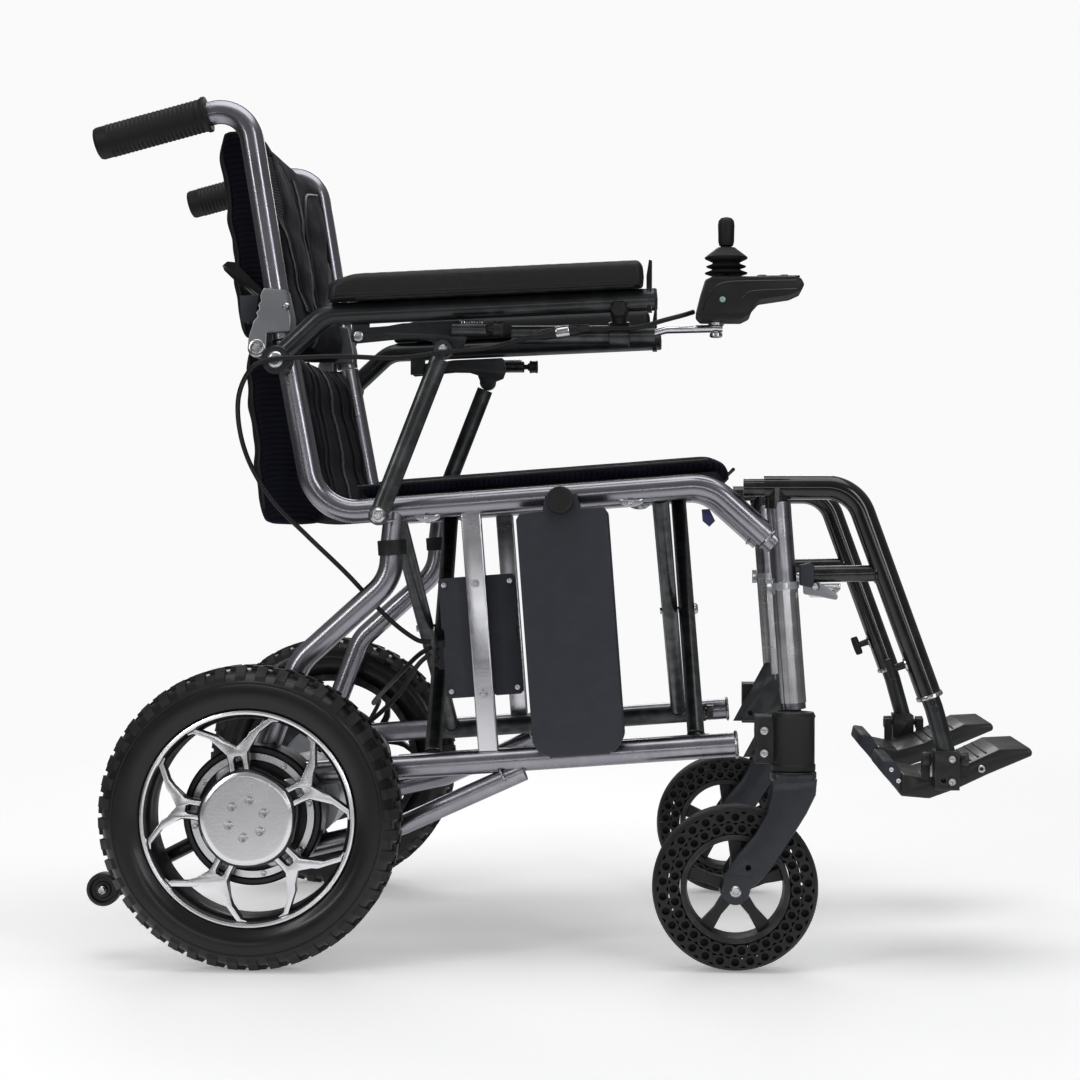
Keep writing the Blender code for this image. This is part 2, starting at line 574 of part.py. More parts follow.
def anti_tip_wheel(side, tag):
    r = ANTI_TIP_R
    profile = [(0.0036, -0.008), (0.0036, 0.008), (r - 0.0025, 0.008), (r, 0.005),
               (r, -0.005), (r - 0.0025, -0.008)]
    return turned("anti_tip_wheel_" + tag, profile, (ANTI_TIP_X, side * (FRAME_Y + 0.0105), ANTI_TIP_Z),
                  (0, 1, 0), "black_plastic", 20)


def caster_fork(side, tag):
    top = 2 * CASTER_R + 0.0345
    crown = rod("caster_fork_" + tag, (CASTER_X, side * CASTER_Y, top - 0.009),
                (CASTER_X, side * CASTER_Y, top), 0.0235, "slate", 20)
    stem = rod("stem", (CASTER_X, side * CASTER_Y, top - 0.005),
               (CASTER_X, side * CASTER_Y, top + 0.034), 0.0060)
    fuse(crown, stem)
    for k in (-1, 1):
        inner = CASTER_Y + k * (CASTER_TYRE_W / 2 + 0.003)
        outer = CASTER_Y + k * (CASTER_TYRE_W / 2 + 0.009)
        blade = slab("blade", [
            (CASTER_X + 0.021, top - 0.004), (CASTER_X + 0.020, top - 0.020),
            (CASTER_X - 0.004, CASTER_R + 0.052)] + arc(CASTER_WHEEL_X, CASTER_R, 0.014, 20, -170, 8)
            + [(CASTER_X - 0.044, CASTER_R + 0.055), (CASTER_X - 0.024, top - 0.022),
               (CASTER_X - 0.020, top - 0.004)], side * inner, side * outer)
        shoulder = box("shoulder", (CASTER_X - 0.016, side * (CASTER_Y + k * 0.012), top - 0.0088),
                       (CASTER_X + 0.016, side * (CASTER_Y + k * (CASTER_TYRE_W / 2 + 0.0088)),
                        top - 0.0005))
        fuse(crown, blade, shoulder)
    reach = CASTER_TYRE_W / 2 + 0.005
    axle = rod("axle", (CASTER_WHEEL_X, side * (CASTER_Y - reach), CASTER_R),
               (CASTER_WHEEL_X, side * (CASTER_Y + reach + 0.0065), CASTER_R), 0.005)
    return fuse(crown, axle)


def caster_hub(side, tag):
    half = CASTER_TYRE_W / 2 - 0.0035
    r = CASTER_R * 0.66
    profile = [(0.0054, -half), (0.0054, half), (0.015, half), (0.019, half * 0.45),
               (r - 0.010, half * 0.45), (r - 0.006, half), (r, half), (r, -half),
               (r - 0.006, -half), (r - 0.010, -half * 0.45), (0.019, -half * 0.45), (0.015, -half)]
    centre = (CASTER_WHEEL_X, side * CASTER_Y, CASTER_R)
    hub = turned("caster_hub_" + tag, profile, centre, (0, 1, 0), "black_plastic", 20)
    windows = []
    for i in range(5):
        a = math.radians(54 + 72 * i)
        windows.append(cross_rod("window", side, CASTER_WHEEL_X + 0.032 * math.cos(a),
                                 CASTER_R + 0.032 * math.sin(a), CASTER_Y - 0.03,
                                 CASTER_Y + 0.03, 0.0105, segments=8))
    return cut(hub, *windows)


def caster_tyre(side, tag):
    half = CASTER_TYRE_W / 2
    r, inside = CASTER_R, CASTER_R * 0.66 + GAP
    profile = [(inside, -half + 0.002), (inside, half - 0.002), (inside + 0.004, half),
               (r - 0.008, half), (r, half * 0.5), (r, -half * 0.5), (r - 0.008, -half),
               (inside + 0.004, -half)]
    return turned("caster_tyre_" + tag, profile, (CASTER_WHEEL_X, side * CASTER_Y, CASTER_R),
                  (0, 1, 0), "tyre_rubber", 28)


# ---- footrests -------------------------------------------------------------------------------
def stem_line():
    """Low end of the hanger tube and its direction, down and forward."""
    low = Vector((0.3835, 0, 0.278))
    return low, Vector((0.342, 0, -0.940)).normalized()


def latch_place():
    """Where the hanger's strut meets the front of the front post."""
    x, z = railwise(FRONT_POST_S, 0.384)
    return x + TUBE_R + 0.0032, z


def footrest_hanger(side, tag):
    low, run = stem_line()
    top_z = SEAT_RAIL_H + TUBE_R - 0.0015
    post = railwise(FRONT_POST_S, SEAT_RAIL_H)
    corner_x = low.x - run.x / -run.z * (top_z - low.z)
    hanger = side_tube("footrest_hanger_" + tag, side, [
        (post[0] - 0.013, top_z), (corner_x, top_z), (low.x, low.z)], TUBE_R, bend=0.040,
        color="black_gloss")
    stub = rod("stub", (post[0] - 0.034, side * FRAME_Y, top_z), (post[0], side * FRAME_Y, top_z),
               0.0095, "black_gloss")
    pin_top, pin_low = railwise(FRONT_POST_S, SEAT_RAIL_H - 0.010), railwise(FRONT_POST_S, PIN_FOOT_H)
    pin = rod("pin", (pin_top[0], side * FRAME_Y, pin_top[1]),
              (pin_low[0], side * FRAME_Y, pin_low[1]), PIN_R, segments=16)
    latch_x, latch_z = latch_place()
    tube_x = low.x - run.x / -run.z * (latch_z - low.z)
    strut = rod("strut", (latch_x, side * FRAME_Y, latch_z), (tube_x, side * FRAME_Y, latch_z + 0.002),
                0.0085)
    ear = box("ear", (latch_x + 0.008, side * (FRAME_Y - 0.003), latch_z - 0.018),
              (latch_x + 0.024, side * (FRAME_Y + 0.003), latch_z))
    hole = cross_rod("hole", side, latch_x + 0.016, latch_z - 0.012, FRAME_Y - 0.02,
                     FRAME_Y + 0.02, 0.0029)
    at = Vector((low.x, side * FRAME_Y, low.z))
    bore = rod("bore", at + run * 0.01, at - run * 0.115, TUBE_R - 0.0024, segments=14)
    return cut(fuse(hanger, stub, pin, strut, ear), hole, bore)


def swing_lever(side, tag):
    latch_x, latch_z = latch_place()
    px, pz = latch_x + 0.016, latch_z - 0.012
    pin = cross_rod("swing_lever_" + tag, side, px, pz, FRAME_Y - 0.005, FRAME_Y + 0.0065, 0.0024)
    blade = slab("blade", [(px - 0.012, pz - 0.008), (px - 0.012, pz + 0.0035), (px + 0.004, pz + 0.0035),
                           (px + 0.022, pz - 0.009), (px + 0.022, pz - 0.014), (px + 0.004, pz - 0.010)],
                 side * (FRAME_Y + 0.0036), side * (FRAME_Y + 0.0072))
    return fuse(pin, blade)


def footrest_stem(side, tag):
    low, run = stem_line()
    at = Vector((low.x, side * FRAME_Y, low.z))
    block_x, block_z = 0.400, 0.212
    inner, outer = at - run * 0.060, at + run * 0.012
    inner = side_tube("footrest_stem_" + tag, side, [
        (inner.x, inner.z), (outer.x, outer.z), (block_x, block_z)], TUBE_R - 0.0030, bend=0.02,
        color="charcoal")
    block = slab("block", [(block_x - 0.0125, block_z - 0.028), (block_x + 0.0125, block_z - 0.028),
                           (block_x + 0.0125, block_z + 0.012), (block_x - 0.0125, block_z + 0.012)],
                 side * (FRAME_Y - TUBE_R), side * (FRAME_Y + TUBE_R))
    bore = rod("bore", (block_x - 0.03, side * (FRAME_Y - 0.0065), block_z + 0.002),
               (block_x + 0.03, side * (FRAME_Y - 0.0065), block_z + 0.002), 0.0044)
    return cut(fuse(inner, block), bore)


def footplate(side, tag):
    outer = FRAME_Y - TUBE_R - 0.0010
    plate = slab("footplate_" + tag, [
        (0.3355, 0.2075), (0.3355, 0.1980), (0.3560, 0.1735), (0.3850, 0.1720), (0.4145, 0.1830),
        (0.4897, 0.2180), (0.4885, 0.2262), (0.4560, 0.2240), (0.4100, 0.2020), (0.3800, 0.1930),
        (0.3560, 0.1980), (0.3440, 0.2100)], side * outer, side * (outer - FOOTPLATE_W),
        "black_plastic")
    pivot_y, pivot_z = FRAME_Y - 0.0065, 0.214
    for x in (0.381, 0.419):
        low = 0.190
        ear = box("ear", (x - 0.0045, side * (outer - 0.008), low),
                  (x + 0.0045, side * (pivot_y + 0.006), pivot_z + 0.006))
        relief = box("relief", (x - 0.01, side * outer, low - 0.01),
                     (x + 0.01, side * (outer + 0.02), pivot_z - 0.006))
        fuse(plate, cut(ear, relief))
    pin = rod("pin", (0.378, side * pivot_y, pivot_z), (0.422, side * pivot_y, pivot_z), 0.0038)
    return fuse(plate, pin)


def t_knob(side, tag):
    low, run = stem_line()
    at = Vector((low.x, side * FRAME_Y, low.z)) - run * 0.040
    out = Vector((run.z, 0, -run.x))
    base = at + out * (TUBE_R + 0.0008)
    shank = rod("t_knob_" + tag, base, base + out * 0.014, 0.0040, "black_plastic")
    bar = rod("bar", base + out * 0.014 - run * 0.011, base + out * 0.014 + run * 0.011, 0.0048)
    return fuse(shank, bar)


# ---- cross brace, seat and back covers -------------------------------------------------------
def brace_point(s, y, h):
    x, z = railwise(s, h)
    return x, y, z


def cross_brace(side, name, offset):
    """Lower tube at this side, seat tube at the other side, and a front and a rear bar."""
    low_y, high_y = side * BRACE_Y, -side * BRACE_Y
    s0, s1 = BRACE_BACK_END_S, BRACE_FRONT_END_S
    lower = rod(name, brace_point(s0, low_y, LOWER_RAIL_H), brace_point(s1, low_y, LOWER_RAIL_H),
                BRACE_R, "charcoal", 14)
    upper = rod("upper", brace_point(s0, high_y, SEAT_RAIL_H), brace_point(s1, high_y, SEAT_RAIL_H),
                BRACE_R, segments=14)
    fuse(lower, upper)
    middle_h = (LOWER_RAIL_H + SEAT_RAIL_H) / 2
    for s in (BRACE_REAR_S, BRACE_FRONT_S):
        bar = rod("bar", brace_point(s + offset, low_y, LOWER_RAIL_H),
                  brace_point(s + offset, high_y, SEAT_RAIL_H), BRACE_BAR_R)
        fuse(lower, bar)
        if offset > 0:
            pin = rod("pin", brace_point(s + offset, 0, middle_h),
                      brace_point(s - offset - BRACE_BAR_R - 0.003, 0, middle_h), 0.0038)
            fuse(lower, pin)
        else:
            hole = rod("hole", brace_point(s - 0.03, 0, middle_h),
                       brace_point(s + 0.03, 0, middle_h), 0.0046)
            cut(lower, hole)
    for end, sign in ((s0, 1), (s1, -1)):
        bore = rod("bore", brace_point(end - sign * 0.01, low_y, LOWER_RAIL_H),
                   brace_point(end + sign * 0.019, low_y, LOWER_RAIL_H), 0.0057)
        cut(lower, bore)
    return lower


def seat_cushion():
    low = SEAT_RAIL_H + BRACE_R + GAP
    outline = [railwise(s, h) for s, h in (
        (-0.1790, low), (BRACE_FRONT_END_S + 0.008, low), (BRACE_FRONT_END_S + 0.020, low - 0.012),
        (0.2140, SEAT_RAIL_H - 0.0065), (0.2265, low), (0.2200, low + SEAT_THICK - 0.003),
        (0.2080, low + SEAT_THICK), (-0.1720, low + SEAT_THICK), (-0.1790, low + SEAT_THICK - 0.005))]
    return slab("seat_cushion", outline, -SEAT_HALF_W, SEAT_HALF_W, "mesh_fabric")


def back_covers():
    split = HINGE_Z + 0.0085
    lower = [(-0.3245, 0.463), (-0.2335, 0.442), (-0.2310, 0.470), (post_x(0.52) + 0.013, 0.520),
             (post_x(split) + 0.013, split - 0.001), (-0.3438, split - 0.001)]
    slab("back_cover_lower", lower, -COVER_HALF_W, COVER_HALF_W, "mesh_fabric")
    upper = [(-0.3440, split), (upper_x(split) + 0.013, split), (upper_x(0.86) + 0.013, 0.860),
             (upper_x(0.88) + 0.004, 0.8755), (-0.3660, 0.8755), (-0.3700, 0.865)]
    slab("back_cover_upper", upper, -COVER_HALF_W, COVER_HALF_W, "mesh_fabric")


# ---- battery, controller and joystick, on the right ------------------------------------------
def battery():
    inner = FRAME_Y + TUBE_R + 0.002
    outer = inner + BATTERY_THICK
    b, f = BATTERY_BACK_S, BATTERY_FRONT_S
    middle = (b + f) / 2
    knob_h = SEAT_RAIL_H - 0.0045
    outline = [railwise(s, h) for s, h in (
        (b, 0.2339), (b + 0.004, 0.2260), (b + 0.010, 0.2200), (b + 0.020, 0.2170),
        (f - 0.020, 0.2170), (f - 0.010, 0.2200), (f - 0.004, 0.2260), (f, 0.2339),
        (f, 0.4600), (f - 0.004, 0.4665), (middle + 0.019, 0.4675), (middle + 0.015, knob_h + 0.006),
        (middle - 0.015, knob_h + 0.006), (middle - 0.019, 0.4675), (b + 0.004, 0.4665),
        (b, 0.4600))]
    slab("battery", outline, -inner, -outer, "slate")
    x, z = railwise(middle, knob_h)
    profile = [(0, 0), (0.0138, 0), (0.0140, 0.002), (0.0140, 0.0095), (0.0125, 0.0115), (0, 0.0120)]
    turned("battery_knob", list(reversed(profile)), (x, -outer - GAP, z), (0, -1, 0),
           "black_plastic", 20)


def controller_box():
    outer = FRAME_Y - 0.006 - GAP
    half_s = 0.0405
    outline = [railwise(s, h) for s, h in (
        (UPRIGHT_S - half_s, 0.2830), (UPRIGHT_S - half_s + 0.003, 0.2800),
        (UPRIGHT_S + half_s - 0.003, 0.2800), (UPRIGHT_S + half_s, 0.2830),
        (UPRIGHT_S + half_s, 0.4025), (UPRIGHT_S + half_s - 0.003, 0.4055),
        (UPRIGHT_S - half_s + 0.003, 0.4055), (UPRIGHT_S - half_s, 0.4025))]
    case = slab("controller_box", outline, -outer, -(outer - 0.042), "slate")
    x, z = railwise(UPRIGHT_S - half_s, 0.325)
    outlet = box("outlet", (x - 0.010, -(outer - 0.010), z - 0.016), (x + 0.004, -(outer - 0.034), z + 0.016))
    return fuse(case, outlet)


JOY_X, JOY_Z = 0.1735, 0.7035    # foot of the joystick on its housing


def joystick():
    half = 0.026
    outline = [
        (JOY_X - 0.031, 0.6640), (JOY_X - 0.026, 0.6595), (JOY_X + 0.016, 0.6595),
        (JOY_X + 0.024, 0.6640), (JOY_X + 0.032, 0.6780), (JOY_X + 0.064, 0.6830),
        (JOY_X + 0.076, 0.6880), (JOY_X + 0.078, 0.6950), (JOY_X + 0.074, 0.7015),
        (JOY_X + 0.068, JOY_Z), (JOY_X - 0.014, JOY_Z), (JOY_X - 0.024, 0.6970),
        (JOY_X - 0.031, 0.6850)]
    case = slab("joystick_housing", outline, -(ARM_Y - half), -(ARM_Y + half), "black_plastic")
    well = rod("well", (JOY_X + 0.046, -ARM_Y, JOY_Z - 0.004), (JOY_X + 0.046, -ARM_Y, JOY_Z + 0.01),
               0.0068, segments=16)
    cut(case, well)
    rod("power_button", (JOY_X + 0.046, -ARM_Y, JOY_Z - 0.0024),
        (JOY_X + 0.046, -ARM_Y, JOY_Z + 0.0018), 0.0062, "machined", 16)
    foot = Vector((JOY_X, -ARM_Y, JOY_Z + 0.0085))
    boot = [(0.0042, -0.0040), (0.0070, -0.0040), (0.0075, 0.006), (0.0130, 0.0075),
            (0.0130, 0.0105), (0.0095, 0.0120), (0.0220, 0.0165), (0.0220, 0.0205),
            (0.0140, 0.0225), (0.0122, 0.0225), (0.0042, 0.0010)]
    turned("joystick_boot", boot, foot, (0, 0, 1), "black_plastic", 20)
    stick = [(0, -0.0030), (0.0028, -0.0030), (0.0030, 0.0225), (0.0065, 0.0265),
             (0.0075, 0.036), (0.0088, 0.046), (0.0080, 0.0505), (0.0045, 0.0525), (0, 0.0530)]
    turned("joystick_stick", list(reversed(stick)), foot, (0, 0, 1), "black_plastic", 20)


def joystick_rail():
    rear = -0.044
    rail = rod("joystick_rail", (rear, -ARM_Y, RAIL_Z), (ARM_FRONT_X, -ARM_Y, RAIL_Z), RAIL_R,
               "charcoal", 16)
    bracket = tube("bracket", rounded([
        (ARM_FRONT_X - 0.008, -ARM_Y, RAIL_Z), (ARM_FRONT_X + 0.012, -ARM_Y, RAIL_Z + 0.006),
        (JOY_X + 0.010, -ARM_Y, RAIL_Z + 0.0062)], 0.02), 0.0042)
    pad = rod("pad", (JOY_X - 0.010, -ARM_Y, RAIL_Z + 0.0015), (JOY_X - 0.010, -ARM_Y, 0.6590), 0.0085)
    fuse(rail, bracket, pad)
    knob_y = ARM_Y + 0.0125 + GAP
    profile = [(0, 0), (0.0060, 0), (0.0085, 0.002), (0.0085, 0.009), (0.0065, 0.0105), (0, 0.0105)]
    turned("rail_clamp_knob", list(reversed(profile)), (0.0655, -knob_y, RAIL_Z + 0.0245),
           (0, -1, 0), "black_plastic", 14)


def smooth_route(points, count):
    """A Catmull-Rom curve through the points."""
    points = [Vector(p) for p in points]
    padded = [2 * points[0] - points[1]] + points + [2 * points[-1] - points[-2]]
    out = []
    for i in range(count):
        t = i / (count - 1) * (len(points) - 1)
        k = min(int(t), len(points) - 2)
        u = t - k
        a, b, c, d = padded[k:k + 4]
        out.append(0.5 * (2 * b + (c - a) * u + (2 * a - 5 * b + 4 * c - d) * u * u
                          + (3 * b - a - 3 * c + d) * u ** 3))
    return out


LEAD_SPREAD = ARM_Y - 0.248      # a wider frame moves the leads out with the armrest


def routed(points, count):
    """A lead's smooth line; beyond 0.18 m from the middle it keeps its distance from the frame."""
    moved = [(x, y + LEAD_SPREAD * max(-1, min(1, y / 0.18)), z) for x, y, z in points]
    return smooth_route(moved, count)


JOYSTICK_LEAD = [
    (0.1405, -0.2480, 0.6700), (0.1300, -0.2560, 0.6660), (0.1100, -0.2640, 0.6600),
    (0.0850, -0.2660, 0.6530), (0.0550, -0.2660, 0.6520), (0.0250, -0.2650, 0.6510),
    (-0.0200, -0.2650, 0.6440), (-0.0650, -0.2660, 0.6330), (-0.1100, -0.2760, 0.6280),
    (-0.1600, -0.2760, 0.6220), (-0.2150, -0.2740, 0.6240), (-0.2600, -0.2730, 0.6230),
    (-0.2851, -0.2725, 0.6220)]

MAIN_LEAD = [
    (-0.2859, -0.2725, 0.6220), (-0.3080, -0.2690, 0.6130), (-0.3250, -0.2520, 0.5860),
    (-0.3280, -0.2320, 0.5500), (-0.3180, -0.2200, 0.5130), (-0.2950, -0.2140, 0.4760),
    (-0.2620, -0.2080, 0.4420), (-0.2200, -0.1960, 0.4000), (-0.1800, -0.1880, 0.3560),
    (-0.1500, -0.1865, 0.3330), (-0.1340, -0.1860, 0.3300)]

RIGHT_MOTOR_LEAD = [
    (-0.1340, -0.1860, 0.3180), (-0.1480, -0.1860, 0.3050), (-0.1680, -0.1830, 0.2750),
    (-0.2000, -0.1780, 0.2450), (-0.2350, -0.1700, 0.2290), (-0.2560, -0.1640, 0.2120)]

LEFT_MOTOR_LEAD = [
    (-0.1340, -0.1800, 0.3240), (-0.1500, -0.1740, 0.3140), (-0.1780, -0.1450, 0.2870),
    (-0.2050, -0.0900, 0.2620), (-0.2180, -0.0200, 0.2510), (-0.2240, 0.0600, 0.2480),
    (-0.2330, 0.1250, 0.2380), (-0.2500, 0.1600, 0.2120)]


def leads():
    lead = tube("joystick_lead", routed(JOYSTICK_LEAD, 34), LEAD_R, "black_plastic", 2)
    plug_y = -0.2650 - LEAD_SPREAD
    plug = tube("plug", [(0.0150, plug_y, 0.6506), (-0.0120, plug_y, 0.6460)], 0.0058,
                "machined", 2)
    fuse(lead, plug)
    main = tube("main_lead", routed(MAIN_LEAD, 36), LEAD_R, "black_plastic", 2)
    block = box("block", (-0.1400, -0.1930 - LEAD_SPREAD, 0.3120),
                (-0.1288, -0.1760 - LEAD_SPREAD, 0.3360))
    fuse(main, block)
    for route, count in ((RIGHT_MOTOR_LEAD, 14), (LEFT_MOTOR_LEAD, 30)):
        fuse(main, tube("branch", routed(route, count), LEAD_R, "black_plastic", 2))


def finish_shading():
    for item in collection.objects:
        item.data.shade_smooth()
        item.data.set_sharp_from_angle(angle=math.radians(35))


def main():
    global collection
    clear_scene()
    collection = bpy.data.collections.new("power_wheelchair")
    bpy.context.scene.collection.children.link(collection)
    pieces = (side_frame, caster_housing, motor, back_post, back_lever, grip, armrest_tube,
              armrest_pad, arm_plate, plunger, arm_strut, rear_tyre, rear_rim, anti_tip_wheel,
              caster_fork, caster_hub, caster_tyre, footrest_hanger, swing_lever, footrest_stem,
              footplate, t_knob)
    for side, tag in ((-1, "right"), (1, "left")):
        for piece in pieces:
            piece(side, tag)
    cross_brace(-1, "cross_brace_a", 0.0095)
    cross_brace(1, "cross_brace_b", -0.0095)
    seat_cushion()
    back_covers()
    battery()
    controller_box()
    joystick()
    joystick_rail()
    leads()
    finish_shading()


main()
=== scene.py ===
# %% [markdown]
# A folding power wheelchair, dressed piece by piece.
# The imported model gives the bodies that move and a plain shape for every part. Each cell below
# makes one real piece in finer form, in metres, and hangs it on the body it belongs to.
# Working on a fixed frame means that nothing has to be fitted or guessed later.

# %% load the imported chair
import json
import math

import bmesh
import bpy
from mathutils import Matrix, Vector
from mathutils.bvhtree import BVHTree


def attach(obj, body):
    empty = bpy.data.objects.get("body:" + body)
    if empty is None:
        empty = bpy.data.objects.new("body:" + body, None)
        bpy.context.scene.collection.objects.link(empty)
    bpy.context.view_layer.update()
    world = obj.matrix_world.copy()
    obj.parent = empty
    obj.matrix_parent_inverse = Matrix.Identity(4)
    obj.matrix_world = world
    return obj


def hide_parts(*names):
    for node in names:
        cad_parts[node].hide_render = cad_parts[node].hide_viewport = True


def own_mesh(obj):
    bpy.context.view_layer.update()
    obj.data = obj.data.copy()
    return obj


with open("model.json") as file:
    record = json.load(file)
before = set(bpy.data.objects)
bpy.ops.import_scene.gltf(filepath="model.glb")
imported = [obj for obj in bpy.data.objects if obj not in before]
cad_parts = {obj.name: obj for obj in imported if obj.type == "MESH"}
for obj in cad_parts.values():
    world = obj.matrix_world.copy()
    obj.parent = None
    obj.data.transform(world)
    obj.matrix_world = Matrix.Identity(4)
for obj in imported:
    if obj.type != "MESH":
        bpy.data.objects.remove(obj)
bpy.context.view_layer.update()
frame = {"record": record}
record = frame["record"]
body_of = {n: b for b, nodes in record["behaviour"]["bodies"].items() for n in nodes}
SIDES = ((-1, "right"), (1, "left"))

# %% [markdown]
# Mesh helpers. Most of a wheelchair is bent tube, turned wheels and flat plate, so three
# makers cover it: a sweep along a path, a lathe, and a plate with a softened edge. They could
# all be modifiers on curves, but plain mesh code keeps every ring where the drawing puts it.

# %% finish a mesh and hang it on a body
def done(work, name, finish, sharp=35, bevel=0.0, weld=True):
    if weld:
        bmesh.ops.remove_doubles(work, verts=work.verts, dist=0.000004)
    bmesh.ops.recalc_face_normals(work, faces=work.faces)
    mesh = bpy.data.meshes.new(name)
    work.to_mesh(mesh)
    work.free()
    mesh.materials.append(finish)
    mesh.shade_smooth()
    mesh.set_sharp_from_angle(angle=math.radians(sharp))
    item = bpy.data.objects.new(name, mesh)
    bpy.context.scene.collection.objects.link(item)
    if bevel:
        edge = item.modifiers.new("soft_edge", "BEVEL")
        edge.width, edge.segments, edge.limit_method = bevel, 2, "ANGLE"
        edge.angle_limit = math.radians(40)
    return item


def settle(item, node, *stands_for):
    """Ride on the node's body, and stand for the nodes named."""
    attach(item, body_of[node])
    if stands_for:
        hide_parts(*stands_for)
    return item


# %% paths, arcs and the slope of the rails
PITCH = math.radians(4.4)


def railwise(s, h):
    """World (x, z) of a point s along the seat rails and h square to them."""
    return s * math.cos(PITCH) - h * math.sin(PITCH), s * math.sin(PITCH) + h * math.cos(PITCH)


def on_rail(y, s, h):
    x, z = railwise(s, h)
    return x, y, z


def mm(*points):
    """Points given in millimetres, as metres."""
    return [tuple(number / 1000 for number in point) for point in points]


def offsets(x, z, *steps):
    """Points given as steps in millimetres from one place."""
    return [(x + a / 1000, z + b / 1000) for a, b in steps]


def rect(x0, x1, z0, z1):
    """The four (x, z) corners of a rectangle."""
    return [(x0, z0), (x1, z0), (x1, z1), (x0, z1)]


def rounded(points, radius, steps=10, closed=False):
    """The points, with each corner turned into an arc."""
    points = [Vector(p) for p in points]
    ring = points if not closed else [points[-1]] + points + [points[0]]
    out = [] if closed else [points[0]]
    for before, corner, after in zip(ring, ring[1:], ring[2:]):
        u, v = (before - corner).normalized(), (after - corner).normalized()
        half = u.angle(v) / 2
        if half > 1.55:
            out.append(corner)
            continue
        reach = min(radius / math.tan(half), 0.48 * (before - corner).length,
                0.48 * (after - corner).length)
        r = reach * math.tan(half)
        centre = corner + (u + v).normalized() * (r / math.sin(half))
        start, end = corner + u * reach - centre, corner + v * reach - centre
        sweep = start.angle(end)
        for k in range(steps + 1):
            a, b = math.sin((1 - k / steps) * sweep), math.sin(k / steps * sweep)
            out.append(centre + (start * a + end * b) / math.sin(sweep))
    return out if closed else out + [points[-1]]


def arc(cx, cz, radius, from_deg, to_deg, steps=12):
    turn = [math.radians(from_deg + (to_deg - from_deg) * i / steps) for i in range(steps + 1)]
    return [(cx + radius * math.cos(a), cz + radius * math.sin(a)) for a in turn]


def soft_corners(outline, radius, steps):
    """A closed (x, z) outline with its corners rounded."""
    return [(p.x, p.z) for p in rounded([(x, 0, z) for x, z in outline], radius, steps, True)]


def smooth_route(points, count):
    """A Catmull-Rom curve through the points."""
    points = [Vector(p) for p in points]
    padded = [2 * points[0] - points[1]] + points + [2 * points[-1] - points[-2]]
    out = []
    for i in range(count):
        t = i / (count - 1) * (len(points) - 1)
        k = min(int(t), len(points) - 2)
        u = t - k
        a, b, c, d = padded[k:k + 4]
        out.append(0.5 * (2 * b + (c - a) * u + (2 * a - 5 * b + 4 * c - d) * u * u
                + (3 * b - a - 3 * c + d) * u ** 3))
    return out


# %% sweep a round, flat or ribbed section along a path
def add_sweep(work, points, radius, sides=20, flat=1.0, ribs=0, up=(0, 1, 0), closed=False):
    """radius is a number or one per point; flat squeezes the section across up; ribs add flutes."""
    points = [Vector(p) for p in points]
    radii = radius if isinstance(radius, (list, tuple)) else [radius] * len(points)
    last, rings, side_way = len(points) - 1, [], Vector(up)
    if abs((points[1] - points[0]).normalized().dot(side_way)) > 0.99:
        side_way = side_way.yzx
    for i, p in enumerate(points):
        ahead = points[(i + 1) % len(points)] if closed else points[min(i + 1, last)]
        run = (ahead - points[i - 1 if closed or i else 0]).normalized()
        side_way = (side_way - run * side_way.dot(run)).normalized()
        over = run.cross(side_way)
        ring = []
        for k in range(sides):
            a = math.tau * k / sides
            r = radii[i] * (1 - (0.035 if ribs and k % (sides // ribs) == 0 else 0))
            ring.append(work.verts.new(p + side_way * math.cos(a) * r * flat + over * math.sin(a) * r))
        rings.append(ring)
    pairs = list(zip(rings, rings[1:])) + ([(rings[-1], rings[0])] if closed else [])
    for a, b in pairs:
        for k in range(sides):
            work.faces.new((a[k], a[(k + 1) % sides], b[(k + 1) % sides], b[k]))
    if not closed:
        work.faces.new(rings[0][::-1])
        work.faces.new(rings[-1])


def tube(name, points, radius, finish, **how):
    work = bmesh.new()
    add_sweep(work, points, radius, **how)
    return done(work, name, finish)


# %% turn a profile on a lathe
def add_lathe(work, profile, centre, axis=(0, 1, 0), steps=48, closed=False, shape=None):
    """profile holds (radius, height); shape(angle, radius, height) may push a ring in or out."""
    turn = Vector(axis).to_track_quat("Z", "Y").to_matrix()
    centre = Vector(centre)
    rings = []
    for r, h in profile:
        if r < 0.00001:
            rings.append([work.verts.new(centre + turn @ Vector((0, 0, h)))] * steps)
            continue
        ring = []
        for k in range(steps):
            a = math.tau * k / steps
            q = r * (shape(a, r, h) if shape else 1)
            ring.append(work.verts.new(centre + turn @ Vector((q * math.cos(a), q * math.sin(a), h))))
        rings.append(ring)
    pairs = list(zip(rings, rings[1:])) + ([(rings[-1], rings[0])] if closed else [])
    for a, b in pairs:
        for k in range(steps):
            n = (k + 1) % steps
            corners = list(dict.fromkeys((a[k], a[n], b[n], b[k])))
            if len(corners) > 2:
                work.faces.new(corners)


def lathe(name, profile, centre, finish, axis=(0, 1, 0), steps=48, closed=False, shape=None, sharp=35):
    work = bmesh.new()
    add_lathe(work, profile, centre, axis, steps, closed, shape)
    return done(work, name, finish, sharp)


